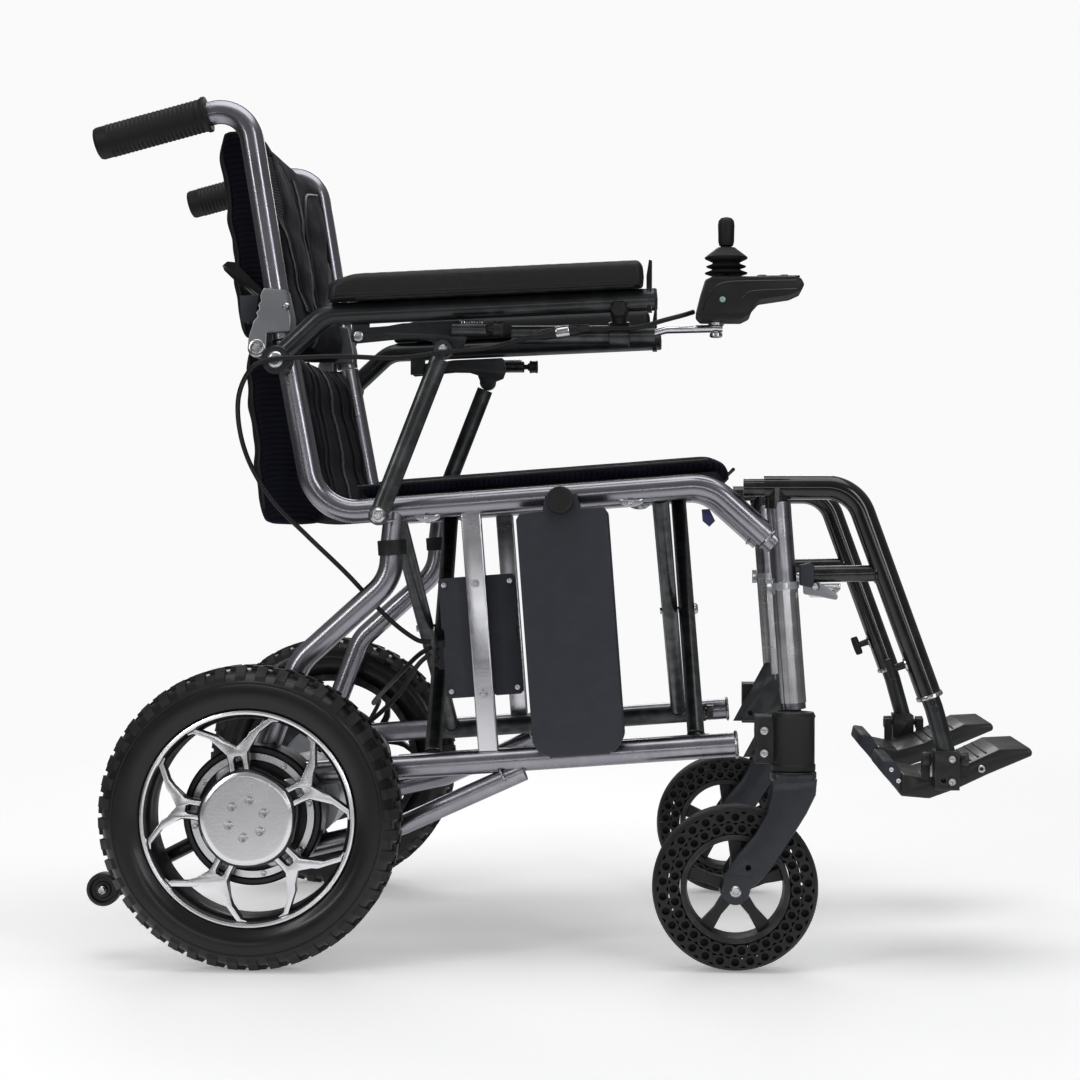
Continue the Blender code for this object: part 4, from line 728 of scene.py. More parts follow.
def motor(side, tag):
    x, z, out_y = AXLE_X, AXLE_Z, 0.258
    y = side * out_y
    drum = lathe("motor_drum_" + tag, mm((0, -29.5), (70, -29.5), (72, -27.5), (72, -2), (70, 0), (66, 0),
            (65.5, -6), (40, -6), (39.5, 0), (0, 0)), (x, y, z), DARK_CAN, (0, side, 0), 72)
    settle(drum, "motor_" + tag, "motor_" + tag)
    ring = lathe("motor_ring_" + tag, mm((56.2, -5.5), (56.2, -1), (57.2, 0), (64, 0), (65, -1),
            (65, -5.5)), (x, y, z), MACHINED, (0, side, 0), 72, True)
    settle(ring, "motor_" + tag)
    screws("motor_screws_" + tag, "motor_" + tag,
            [(x + 0.0605 * math.cos(a), side * (out_y - 0.0004), z + 0.0605 * math.sin(a), 0.003)
            for a in (math.tau * k / 8 + 0.2 for k in range(8))], STEEL, (0, side, 0))
    lobes = bmesh.new()
    for k in range(4):
        a = math.tau * k / 4 + 0.55
        add_lathe(lobes, mm((0, -5.5), (14, -5.5), (14, -2), (12, -0.8), (0, -0.8)),
                (x + 0.046 * math.cos(a), y, z + 0.046 * math.sin(a)), (0, side, 0), 32)
    settle(done(lobes, "motor_lobes_" + tag, MOTOR_GREY), "motor_" + tag)
    inner = FRAME_Y - TUBE_R - 0.0006
    can = lathe("motor_can_" + tag, mm((0, 0), (42, 0), (42, 8), (40.5, 9), (40.5, 66), (42, 67), (42, 81),
            (38, 85.8), (12, 85.8), (10, 84), (0, 84)), (x + 0.04, side * inner, z + 0.01), MOTOR_GREY,
            (0, -side, 0), 64)
    settle(can, "motor_" + tag)
    box_work = bmesh.new()
    add_lathe(box_work, mm((0, 0), (48, 0), (50, 2), (50, 27), (47, 30), (0, 30)), (x, side * inner, z),
            (0, -side, 0), 64)
    add_lathe(box_work, rect(0, 0.03, 0, 0.033), (x, side * (inner - 0.0035), z), (0, side, 0), 48)
    settle(done(box_work, "motor_gearcase_" + tag, CAST, 30), "motor_" + tag)
    axle = bmesh.new()
    add_sweep(axle, [(x, side * 0.256, z), (x, side * 0.287, z)], 0.008, sides=24)
    settle(done(axle, "motor_axle_" + tag, STEEL), "motor_" + tag)


for side, tag in SIDES:
    caster_housing(side, tag)
    motor(side, tag)
print("housings and motors made")

# %% [markdown]
# The drive wheels. The tyre is lathed, then its shoulder blocks are added one by one round it,
# because the blocks break the outline and no bump can do that. The rim has five arms that fork
# into ten, with a bright machined face over black sides. Each arm is one plate for the black
# body and a thinner bright plate on its front.

# %% tyre with shoulder blocks
WHEEL_Y = 0.265


def drive_tyre(side, tag):
    profile = mm((110.4, -20), (110.4, 20), (112.5, 22.2), (114, 22.5), (118, 26.2), (124, 28.3), (131, 29),
            (136.5, 28.6), (137.2, 27.8), (139, 28), (144.5, 24.5), (149, 19), (151.5, 12), (152.5, 4),
            (152.5, -4), (151.5, -12), (149, -19), (144.5, -24.5), (139, -28), (131, -29), (124, -28.3),
            (118, -26.2), (112.5, -22.2))
    centre = (AXLE_X, side * WHEEL_Y, AXLE_Z)
    body = lathe("tyre_" + tag, profile, centre, SIDEWALL, (0, side, 0), 120, True)
    settle(body, "rear_tyre_" + tag, "rear_tyre_" + tag)
    blocks = bmesh.new()
    count = 44
    for row, (shift, ys, rs) in enumerate(((0.0, (0.015, 0.0272), (0.1558, 0.1452)),
            (0.5, (-0.015, -0.0272), (0.1558, 0.1452)), (0.25, (0.0012, 0.0132), (0.155, 0.1549)),
            (0.75, (-0.0012, -0.0132), (0.155, 0.1549)))):
        for k in range(count):
            a0 = math.tau * (k + shift) / count
            width = math.tau / count * (0.6 if row < 2 else 0.66)
            tread_block(blocks, centre, side, a0, width, ys, rs, 0.006)
    lugs = done(blocks, "tyre_blocks_" + tag, RUBBER, 30, weld=False)
    settle(lugs, "rear_tyre_" + tag)
    print("tyre", tag, len(lugs.data.polygons), "block faces")


def tread_block(work, centre, side, a0, width, ys, rs, deep):
    """One rubber block, from a low ring to a high ring, tapered towards its top."""
    spots = []
    for level in (1, 0):
        for da, k in ((0, 0), (1, 0), (1, 1), (0, 1)):
            pinch = 0.1 * (1 - level)
            a = a0 + width * (da * (1 - 2 * pinch) + pinch)
            r = min(rs[k], 0.155) - deep * level * (1.0 if k == 0 else 1.25)
            y = ys[k] - (0.0008 * (1 if ys[k] > 0 else -1) * (1 - level))
            spots.append(work.verts.new((centre[0] + r * math.cos(a), centre[1] + side * y,
                    centre[2] + r * math.sin(a))))
    low, high = spots[:4], spots[4:]
    work.faces.new(high)
    for k in range(4):
        n = (k + 1) % 4
        work.faces.new((low[k], low[n], high[n], high[k]))


# %% rim barrel, bright lip and forked arms
def rim(side, tag):
    centre = (AXLE_X, side * WHEEL_Y, AXLE_Z)
    barrel = lathe("rim_barrel_" + tag, mm((101.5, -23), (109.8, -23), (109.8, -20.5), (108, -19),
            (108, 19), (109.8, 20.2), (109.8, 21.2), (106, 20.8), (103, 18), (101.5, 12)), centre,
            WHEEL_BLACK, (0, side, 0), 120, True)
    settle(barrel, "rear_rim_" + tag, "rear_rim_" + tag)
    lip = lathe("rim_lip_" + tag, mm((105.5, 20.6), (106.2, 22.6), (108.2, 23.2), (110, 22.4),
            (110.1, 20.6)), centre, MACHINED, (0, side, 0), 120, True)
    settle(lip, "rear_rim_" + tag)
    arms, faces = bmesh.new(), bmesh.new()
    for i in range(5):
        turn = Matrix.Rotation(math.radians(99 - 72 * i - 90), 2)
        black, bright = forked_arm(0), forked_arm(0.0011)
        for work, outline, low, high in ((arms, black, 0.007, 0.0185), (faces, bright, 0.0183, 0.0194)):
            placed = [turn @ Vector(p) for p in outline]
            placed = [(AXLE_X + p.x, AXLE_Z + p.y) for p in placed]
            slot = [turn @ Vector(p) for p in arm_slot(0 if work is arms else 0.0008)]
            slot = [(AXLE_X + p.x, AXLE_Z + p.y) for p in slot]
            add_plate(work, placed, side * (WHEEL_Y + low), side * (WHEEL_Y + high), [slot], 0.0007)
    settle(done(arms, "rim_arms_" + tag, WHEEL_BLACK, 30), "rear_rim_" + tag)
    settle(done(faces, "rim_faces_" + tag, MACHINED, 30), "rear_rim_" + tag)
    hub(side, tag, centre)


def forked_arm(inset):
    """Outline of one arm that points up: a wide root that splits into two blades."""
    w = 0.0115 - inset
    right = [(w * 0.95, 0.036), (w * 0.92, 0.058), (w, 0.0665), (0.0205, 0.08 - inset), (0.0262, 0.0855),
            (0.042 - inset, 0.0935), (0.0478 - inset, 0.0925), (0.05 - inset, 0.095),
            (0.043, 0.0985 + inset * 0.2), (0.0385, 0.098 - inset * 0.2), (0.016, 0.0865 - inset * 0.3),
            (0.0118, 0.0815), (0.0, 0.0725 + inset)]
    left = [(-x, z) for x, z in reversed(right[:-1])]
    return right + left


def arm_slot(extra):
    w = 0.0042 + extra
    return [(w, 0.05), (w, 0.06 + extra), (w * 0.6, 0.0635 + extra), (-w * 0.6, 0.0635 + extra),
            (-w, 0.06 + extra), (-w, 0.05)]


# %% scalloped hub and brushed centre disc
def hub(side, tag, centre):
    petals = lathe("rim_hub_" + tag, mm((21, -4.5), (49, -4.5), (50.5, -3), (50.5, 17), (49.2, 19.6),
            (46, 20), (21, 20)), centre, WHEEL_BLACK, (0, side, 0), 120, True, shape=lambda a, r,
            h: 1 + (0.03 * math.cos(5 * (a - math.radians(99))) if r > 0.04 else 0))
    settle(petals, "rear_rim_" + tag)
    disc = lathe("hub_disc_" + tag, mm((0, 23.8), (41.5, 23.8), (43, 23.8), (44.2, 23.6), (47.2, 22.2),
            (48, 20), (0, 20)), centre, MACHINED, (0, side, 0), 120, shape=lambda a, r,
            h: 1 + (0.012 * math.cos(5 * (a - math.radians(99))) if r > 0.04 else 0))
    settle(disc, "rear_rim_" + tag)
    screws("hub_screws_" + tag, "rear_rim_" + tag,
            [(centre[0] + 0.019 * math.cos(a), side * (WHEEL_Y + 0.0237), centre[2] + 0.019 * math.sin(a),
            0.0046) for a in (math.tau * k / 6 + 0.35 for k in range(6))], STEEL, (0, side, 0))


for side, tag in SIDES:
    drive_tyre(side, tag)
    rim(side, tag)

# %% anti-tip wheels
for side, tag in SIDES:
    wheel = lathe("tip_wheel_" + tag, mm((3.6, -6), (8, -6), (9, -4.5), (12.5, -4.5), (13.5, -8),
            (15.5, -8), (17.2, -6.2), (17.5, -3), (17.5, 3), (17.2, 6.2), (15.5, 8), (13.5, 8), (12.5, 4.5),
            (9, 4.5), (8, 6), (3.6, 6)), (TIP_X, side * 0.2255, TIP_Z), PLASTIC, (0, side, 0), 48, True)
    settle(wheel, "anti_tip_wheel_" + tag, "anti_tip_wheel_" + tag)

# %% [markdown]
# The casters. They have solid rubber tyres: no air, so the maker moulds rows of round pockets
# into both sidewalls and the tread shoulder to let the rubber give. The pockets are real holes
# here, cut from a ring of quads, and the rows are staggered like a honeycomb.

# %% honeycomb tyre
CASTER_R, CASTER_WHEEL_X = 0.0845, 0.1845


def caster_tyre(side, tag):
    centre = Vector((CASTER_WHEEL_X, side * CASTER_Y, CASTER_R))
    work = bmesh.new()
    add_lathe(work, [(0.0565, -0.0185), (0.0565, 0.0185)], centre, (0, side, 0), 96)
    add_lathe(work, mm((79.5, -19.8), (82.2, -16.5), (83.8, -10.5), (84.5, -4), (84.5, 4), (83.8, 10.5),
            (82.2, 16.5), (79.5, 19.8)), centre, (0, side, 0), 96)
    for face_side in (-1, 1):
        pocket_wall(work, centre, side * face_side)
    body = done(work, "caster_tyre_body_" + tag, SOLID_TYRE, 32)
    settle(body, "caster_tyre_" + tag, "caster_tyre_" + tag)
    print("caster tyre", tag, len(body.data.polygons), "faces")


def pocket_wall(work, centre, way):
    """Sidewall of two staggered rows of round pockets, each pocket with a floor."""
    count, around = 30, 12
    bands = ((0.0565, 0.068, 0.0185, 0.0202, 0.0), (0.068, 0.0795, 0.0202, 0.0198, 0.5))
    for r0, r1, y0, y1, shift in bands:
        for k in range(count):
            mid = math.tau * (k + shift) / count
            half = math.tau / count / 2
            middle_r, hole = (r0 + r1) / 2, 0.0041

            def spot(a, r, sink=0.0):
                y = y0 + (y1 - y0) * (r - r0) / (r1 - r0) - sink
                return work.verts.new((centre.x + r * math.cos(a), centre.y + way * y,
                        centre.z + r * math.sin(a)))
            outer, mouth, floor = [], [], []
            for j in range(around):
                t = math.tau * j / around
                c, s = math.cos(t), math.sin(t)
                grow = 1 / max(abs(c), abs(s))
                outer.append(spot(mid + half * c * grow, middle_r + (r1 - r0) / 2 * s * grow))
                mouth.append(spot(mid + hole / middle_r * c, middle_r + hole * s))
                floor.append(spot(mid + hole * 0.8 / middle_r * c, middle_r + hole * 0.8 * s, 0.0075))
            for j in range(around):
                n = (j + 1) % around
                work.faces.new((outer[j], outer[n], mouth[n], mouth[j]))
                work.faces.new((mouth[j], mouth[n], floor[n], floor[j]))
            work.faces.new(floor)


# %% five-rib caster hub
def caster_hub(side, tag):
    centre = (CASTER_WHEEL_X, side * CASTER_Y, CASTER_R)
    work = bmesh.new()
    add_lathe(work, mm((50, -16.8), (55.6, -17.5), (55.6, 17.5), (50, 16.8), (48.8, 10), (48.8, -10)),
            centre, (0, side, 0), 72, True)
    add_lathe(work, mm((5.4, -17.5), (13, -17.5), (15, -15), (16.5, 0), (15, 15), (13, 17.5), (5.4, 17.5)),
            centre, (0, side, 0), 48, True)
    for k in range(5):
        a = math.radians(90 + 72 * k)
        along, over = Vector((math.cos(a), math.sin(a))), Vector((-math.sin(a), math.cos(a)))
        outline = [along * r + over * w for r, w in ((0.013, 0.0062), (0.03, 0.0048), (0.05, 0.0075),
                (0.05, -0.0075), (0.03, -0.0048), (0.013, -0.0062))]
        add_plate(work, [(centre[0] + p.x, centre[2] + p.y) for p in outline], side * (CASTER_Y - 0.0085),
                side * (CASTER_Y + 0.0085), edge=0.0016)
    settle(done(work, "caster_hub_body_" + tag, PLASTIC, 30, weld=False), "caster_hub_" + tag,
            "caster_hub_" + tag)
    seal = lathe("caster_bearing_" + tag, mm((5.6, 17.6), (11, 17.6), (11.2, 16), (5.6, 16)), centre, STEEL,
            (0, side, 0), 36, True)
    settle(seal, "caster_hub_" + tag)


# %% thick swept fork
def caster_fork(side, tag):
    top, x, y = 0.2035, CASTER_X, CASTER_Y
    work = bmesh.new()
    add_lathe(work, mm((0, -10), (21.5, -10), (23.5, -7), (23.5, -1.5), (22.2, 0), (0, 0)),
            (x, side * y, top), (0, 0, 1), 48)
    add_lathe(work, mm((6, -1), (6, 34), (0, 34)), (x, side * y, top), (0, 0, 1), 24)
    for k in (-1, 1):
        inner, outer = y + k * 0.024, y + k * 0.0302
        outline = [(x + 0.0225, top - 0.005), (x + 0.0212, top - 0.021), (x + 0.012, top - 0.04),
                (x - 0.006, 0.134), (x - 0.024, 0.106), (x - 0.0385, 0.091)]
        outline += arc(CASTER_WHEEL_X, CASTER_R, 0.0142, 5, -170, 12)
        outline += [(x - 0.0705, 0.101), (x - 0.056, 0.123), (x - 0.04, 0.142), (x - 0.0275, top - 0.04),
                (x - 0.023, top - 0.022), (x - 0.0212, top - 0.005)]
        add_plate(work, outline, side * inner, side * outer, [(x - 0.0465, 0.1085, 0.0026)], 0.0022)
        add_plate(work, rect(x - 0.018, x + 0.018, top - 0.0092, top - 0.0008), side * (y + k * 0.012),
                side * (y + k * 0.0298), edge=0.002)
    settle(done(work, "caster_fork_body_" + tag, FORK_SLATE, 30), "caster_fork_" + tag,
            "caster_fork_" + tag)
    axle = bmesh.new()
    add_sweep(axle, [(CASTER_WHEEL_X, side * (y - 0.0262), CASTER_R), (CASTER_WHEEL_X, side * (y + 0.03),
            CASTER_R)], 0.005, sides=24)
    add_screw(axle, (CASTER_WHEEL_X, side * (y + 0.03), CASTER_R), (0, side, 0), 0.0066, 0.0034, True)
    settle(done(axle, "caster_axle_" + tag, STEEL, 30, weld=False), "caster_fork_" + tag)


for side, tag in SIDES:
    caster_tyre(side, tag)
    caster_hub(side, tag)
    caster_fork(side, tag)

# %% [markdown]
# The back posts. Below the hinge the post is part of the welded frame. Above it the post is a
# fluted extrusion that carries the push handle, and a cast bracket with a wavy rear edge holds
# the half-fold hinge: a ringed pin at its foot, a catch behind, and a flat lever that points up
# and back. The flutes are small steps in the tube's section, so they catch light as lines.

# %% fluted post, cast bracket and hinge pin
def back_post(side, tag):
    start, corner_z = HINGE_Z + 0.0105, 0.8923
    route = side_path(side, [(upper_x(start), start), (upper_x(corner_z), corner_z), (-0.4785, 0.8523)],
            0.034, steps=20)
    post = tube("post_" + tag, route, TUBE_R, ALLOY, sides=48, ribs=8)
    settle(post, "back_post_" + tag, "back_post_" + tag)
    hx, hz = HINGE_X, HINGE_Z
    edge = offsets(hx, hz, (7, 62.5), (4.5, 58), (3, 54), (4.2, 49), (1, 45), (2.2, 41), (-1.2, 37),
            (0.2, 33), (-4.2, 28), (-5.8, 21), (-8.8, 13))
    shape = [(hx + 0.035, hz + 0.0165), (hx + 0.0355, hz + 0.032), (hx + 0.029, hz + 0.0605)] + edge
    shape += arc(hx, hz, 0.0098, 180, 360, 14) + [(hx + 0.0105, hz + 0.0158)]
    work = bmesh.new()
    for low, high in ((0.1987, 0.2083), (0.2217, 0.2313)):
        add_plate(work, shape, side * low, side * high, edge=0.0014)
    add_plate(work, offsets(hx, hz, (11, 16.5), (35, 16.5), (35.5, 32), (29, 60), (8, 60), (6, 40)),
            side * 0.208, side * 0.222, edge=0.001)
    settle(done(work, "hinge_bracket_" + tag, CAST, 30, weld=False), "back_post_" + tag)
    pin = bmesh.new()
    add_sweep(pin, [(hx, side * 0.1995, hz), (hx, side * 0.2318, hz)], 0.004, sides=24)
    add_lathe(pin, mm((4, 0), (8.8, 0), (9.2, 1), (9.2, 2.2), (8.2, 3), (5.8, 3.2), (5.2, 2.6), (4.6, 1.2),
            (0, 1)), (hx, side * 0.2313, hz), (0, side, 0), 40)
    settle(done(pin, "hinge_pin_" + tag, STEEL), "back_post_" + tag)
    stud = bmesh.new()
    add_screw(stud, (hx + 0.0305, side * 0.2312, hz + 0.043), (0, side, 0), 0.0042, 0.0024, True)
    settle(done(stud, "bracket_stud_" + tag, STEEL, 30), "back_post_" + tag)
    block = plate("catch_block_" + tag, offsets(hx, hz, (-23, 57), (-2, 58), (-6, 33), (-13, 27),
            (-22, 31)), side * 0.2085, side * 0.1995, SLATE, edge=0.0014)
    settle(block, "back_post_" + tag)
    px, pz = hx + 0.008, hz + 0.046
    blade = arc(px, pz, 0.007, -110, 60, 12) + offsets(px, pz, (-38.5, 47.5), (-46.5, 48.5), (-52, 44),
            (-49.5, 38.5))
    lever = plate("release_lever_" + tag, blade, side * 0.1967, side * 0.1951, BLACK_GLOSS,
            [(px, pz, 0.002)], 0.0005)
    settle(lever, "back_lever_" + tag, "back_lever_" + tag)


# %% moulded push handles with finger ribs
def grip(side, tag):
    flange, end = Vector((-0.3645, side * FRAME_Y, 0.882)), Vector((-0.4833, side * FRAME_Y, 0.8511))
    run, length, r = (end - flange).normalized(), (end - flange).length, 0.017
    profile = [(0.0129, 0), (r + 0.0012, 0), (r + 0.0018, 0.001), (r + 0.0018, 0.004), (r + 0.0008, 0.0052)]
    for k in range(22):
        h = 0.0085 + k * 0.0046
        profile += offsets(r, h, (-0.1, 0), (0.4, 0.9), (0.4, 2.6), (-0.1, 3.5))
    profile += [(r, length - 0.004), (r - 0.0012, length - 0.0012), (r - 0.004, length), (0.006, length),
            (0.0052, length - 0.001), (0, length - 0.0012)]

    def palm(a, q, h):
        return 1 - (0.045 * max(0, math.cos(a)) ** 6 if q > 0.0165 and 0.012 < h < length - 0.01 else 0)
    sleeve = lathe("push_grip_" + tag, profile, flange, GRIP_RUBBER, run, 48, shape=palm, sharp=50)
    settle(sleeve, "grip_" + tag, "grip_" + tag)


for side, tag in SIDES:
    back_post(side, tag)
    grip(side, tag)
print("back posts and grips made")

# %% [markdown]
# The flip-up armrests. The tube swings on a round collar at the back post. A flat dark plate
# hangs under it and a strut rises to the plate, so the whole thing is a four-bar linkage that
# locks with a sprung plunger. The pad is foam wrapped in leather, with a folded front end.

# %% armrest tube, collar, link ear and rail clamp
def arm_z(x):
    return 0.683 - (0.1015 - x) * math.tan(math.radians(2.4))


LINK, STRUT_TOP = (-0.2015, 0.647), (-0.1135, 0.632)


def armrest(side, tag):
    knee = PIVOT[0] + 0.0495
    work = bmesh.new()
    add_sweep(work, side_path(side, [(PIVOT[0] + 0.006, PIVOT[1] + 0.0065), (knee, arm_z(knee)),
            (0.1015, 0.683)], 0.035, ARM_Y, 16), ARM_R, sides=28)
    add_lathe(work, mm((5.8, -12.5), (13.8, -12.5), (14.5, -11.8), (14.5, 11.8), (13.8, 12.5), (5.8, 12.5)),
            (PIVOT[0], side * ARM_Y, PIVOT[1]), (0, side, 0), 48, True)
    settle(done(work, "arm_tube_" + tag, CHARCOAL, 30, weld=False), "armrest_tube_" + tag,
            "armrest_tube_" + tag)
    ear = bmesh.new()
    add_plate(ear, [(LINK[0] - 0.008, arm_z(LINK[0])), (LINK[0] - 0.008, LINK[1] - 0.006),
            (LINK[0] + 0.008, LINK[1] - 0.006), (LINK[0] + 0.012, arm_z(LINK[0]))], side * 0.2402,
            side * 0.2452, edge=0.0012)
    add_sweep(ear, [(LINK[0], side * 0.242, LINK[1]), (LINK[0], side * 0.2508, LINK[1])], 0.0034)
    settle(done(ear, "arm_ear_" + tag, CHARCOAL, 30, weld=False), "armrest_tube_" + tag)
    plug = bmesh.new()
    add_lathe(plug, [(0, -0.002), (ARM_R - 0.001, -0.002), (ARM_R + 0.0002, 0), (ARM_R - 0.001, 0.0022),
            (0, 0.0028)], (0.1015, side * ARM_Y, 0.683), (1, 0, 0.042), 32)
    settle(done(plug, "arm_end_plug_" + tag, PLASTIC), "armrest_tube_" + tag)
    bolt = bmesh.new()
    add_screw(bolt, (LINK[0], side * 0.2503, LINK[1]), (0, side, 0), 0.0062, 0.0026, True)
    settle(done(bolt, "arm_ear_bolt_" + tag, STEEL, 30), "armrest_tube_" + tag)
    strip = plate("pad_end_plate_" + tag, mm((93, 670), (98.5, 670), (98.5, 721.5), (95.5, 722.5),
            (93, 706)), side * 0.2385, side * 0.2575, BLACK_GLOSS)
    settle(strip, "armrest_tube_" + tag)
    if side < 0:
        rail_clamp()


def rail_clamp():
    """A bell-shaped neck under the tube, a bright pin and a ring round the joystick rail."""
    x, y = 0.0655, -ARM_Y
    neck = bmesh.new()
    top = arm_z(x)
    add_lathe(neck, [(0.007, top - 0.0235), (0.0078, top - 0.0175), (0.0095, top - 0.0125),
            (0.0118, top - 0.007), (0.012, top - 0.002), (0, top - 0.002)], (x, y, 0), (0, 0, 1), 40)
    add_lathe(neck, mm((10.2, -10.5), (12.5, -10.5), (13.2, -9.5), (13.2, 9.5), (12.5, 10.5), (10.2, 10.5)),
            (x, y, 0.647), (1, 0, 0), 40, True)
    settle(done(neck, "rail_clamp_neck", CHARCOAL, 30, weld=False), "armrest_tube_right")
    pin = lathe("rail_clamp_pin", rect(0, 0.0048, 0.656, 0.6625), (x, y, 0), STEEL, (0, 0, 1), 28)
    settle(pin, "armrest_tube_right")
    lobes = lathe("rail_knob", mm((0, 0), (4, 0), (4.4, 1.8), (8, 2.2), (8.5, 3.4), (8.4, 8.2), (7.2, 10),
            (3, 10.5), (0, 10.2)), (x, -0.261, 0.6715), PLASTIC, (0, -1, 0), 60, shape=lambda a, r,
            h: 1 + (0.07 * math.cos(6 * a) if r > 0.006 else 0))
    settle(lobes, "rail_clamp_knob", "rail_clamp_knob")


# %% link plate, plunger and strut
def linkage(side, tag):
    cx, cz = STRUT_TOP
    under = ARM_R + 0.0012
    top = lambda x: arm_z(x) - under
    outline = arc(*LINK, 0.0085, 250, 118, 10)
    outline += [(LINK[0] + 0.03, top(LINK[0] + 0.03) - 0.002), (LINK[0] + 0.045, top(LINK[0] + 0.045))]
    outline += [(cx + 0.0185, top(cx + 0.0185)), (cx + 0.022, top(cx + 0.022) - 0.0035),
            (cx + 0.0238, cz + 0.014), (cx + 0.02, cz + 0.004)]
    outline += arc(cx, cz, 0.01, 0, -110, 8) + offsets(cx, cz, (-10.5, 4), (-12, 8.5), (-22, 11.5),
            (-40, 11.8))
    flat = plate("link_plate_" + tag, outline, side * 0.2458, side * 0.2502, ANTHRACITE, [(*LINK, 0.0039)],
            0.0008)
    settle(flat, "arm_plate_" + tag, "arm_plate_" + tag)
    px, pz, py = cx + 0.017, cz + 0.02, side * 0.2645
    barrel = lathe("plunger_barrel_" + tag, mm((3.7, -8), (6, -8), (7, -7), (7, 27.5), (6.2, 28),
            (3.7, 28)), (px, py, pz), CHARCOAL, (1, 0, 0), 40, True)
    settle(barrel, "arm_plate_" + tag)
    coil = bmesh.new()
    steps, lap = 120, math.tau / 13.3
    wire = [(px + 0.001 + 0.0235 * t / steps, py + 0.0049 * math.sin(t * lap),
            pz + 0.0062 + 0.0026 * math.cos(t * lap)) for t in range(steps + 1)]
    add_sweep(coil, wire, 0.0008, sides=6, up=(1, 0.1, 0))
    settle(done(coil, "plunger_spring_" + tag, STEEL, weld=False), "arm_plate_" + tag)
    saddle_work = bmesh.new()
    add_plate(saddle_work, rect(px - 0.0045, px + 0.0045, pz - 0.0065, pz + 0.0055), side * 0.2475,
            side * 0.261, edge=0.0008)
    settle(done(saddle_work, "plunger_bracket_" + tag, BRIGHT, 30), "arm_plate_" + tag)
    knob = bmesh.new()
    add_lathe(knob, mm((0, 12.5), (3.1, 12.5), (3.1, 32.5), (4.6, 32.8), (4.8, 34.5), (7.8, 35.2),
            (8, 36.5), (7.4, 38.5), (7.4, 42.5), (8, 43.5), (7.6, 45), (0, 45)), (px, py, pz), (1, 0, 0),
            36)
    settle(done(knob, "plunger_knob_" + tag, PLASTIC), "plunger_" + tag, "plunger_" + tag)
    strut(side, tag)


def strut(side, tag):
    top, foot = Vector(STRUT_TOP), Vector(STRUT_FOOT)
    run = (top - foot).normalized()
    y = side * 0.2562
    work = bmesh.new()
    a, b = foot + run * 0.006, top - run * 0.01
    add_sweep(work, [(a.x, y, a.y), (b.x, y, b.y)], 0.0098, sides=28, flat=0.5)
    for centre, r in ((top, 0.01), (foot, 0.0102)):
        add_lathe(work, [(0.0047, -0.0048), (r - 0.001, -0.0048), (r, -0.004), (r, 0.004),
                (r - 0.001, 0.0048), (0.0047, 0.0048)], (centre.x, y, centre.y), (0, side, 0), 40, True)
    settle(done(work, "strut_" + tag, CHARCOAL, 30, weld=False), "arm_strut_" + tag, "arm_strut_" + tag)
    bolts = bmesh.new()
    add_sweep(bolts, [(top.x, side * 0.2518, top.y), (top.x, side * 0.2612, top.y)], 0.0044)
    add_screw(bolts, (top.x, side * 0.261, top.y), (0, side, 0), 0.0062, 0.003, True)
    settle(done(bolts, "strut_bolt_" + tag, STEEL, 30, weld=False), "arm_strut_" + tag)


# %% leather pad with a folded front end
def arm_pad(side, tag):
    front, rear, lift, thick = 0.0905, -0.2315, 0.0121, 0.025
    y0 = side * (0.233 + 0.0215)
    work = bmesh.new()
    rings = []
    for i in range(61):
        t = i / 60
        x = rear + (front - rear) * t
        ends = min(1.0, (t * (front - rear) / 0.03 + 0.02) ** 0.45) if t < 0.5 else min(1.0,
                ((1 - t) * (front - rear) / 0.006 + 0.35) ** 0.6)
        wide, tall = 0.0212 * (0.62 + 0.38 * ends), thick / 2 * (0.45 + 0.55 * ends) + 0.0008
        base = arm_z(x) + lift + 0.0003
        mid = base + tall
        ring = []
        for k in range(36):
            a = math.tau * k / 36
            c, s = math.cos(a), math.sin(a)
            soft = 0.42 if s > 0 else 0.22
            px = math.copysign(abs(c) ** soft, c) * wide * (1 - 0.05 * max(0, s))
            pz = math.copysign(abs(s) ** (0.62 if s > 0 else 0.25), s) * tall
            wrinkle = 0.00025 * math.sin(x * 410 + 3 * math.sin(a * 2)) * max(0, math.sin(a))
            ring.append(work.verts.new((x, y0 + px, mid + pz + wrinkle)))
        rings.append(ring)
    for a, b in zip(rings, rings[1:]):
        for k in range(36):
            n = (k + 1) % 36
            work.faces.new((a[k], a[n], b[n], b[k]))
    work.faces.new(rings[0][::-1])
    work.faces.new(rings[-1])
    pad = done(work, "arm_pad_" + tag, LEATHER, 60)
    smooth = pad.modifiers.new("smooth", "SUBSURF")
    smooth.levels = smooth.render_levels = 1
    settle(pad, "armrest_pad_" + tag, "armrest_pad_" + tag)
    seam = [(rear + 0.012 + (front - rear - 0.018) * k / 40) for k in range(41)]
    line = tube("pad_seam_" + tag, [(x, y0 + side * 0.0207, arm_z(x) + lift + 0.0048) for x in seam],
            0.0007, PIPING, sides=8)
    settle(line, "armrest_pad_" + tag)
    base = bmesh.new()
    add_plate(base, [(rear + 0.03, arm_z(rear + 0.03) + lift - 0.0008),
            (front - 0.01, arm_z(front - 0.01) + lift - 0.0008),
            (front - 0.01, arm_z(front - 0.01) + lift + 0.0016),
            (rear + 0.03, arm_z(rear + 0.03) + lift + 0.0016)], y0 - 0.0185, y0 + 0.0185, edge=0.0006)
    settle(done(base, "pad_board_" + tag, PLASTIC, 30), "armrest_pad_" + tag)


for side, tag in SIDES:
    armrest(side, tag)
    linkage(side, tag)
    arm_pad(side, tag)
print("armrests made")

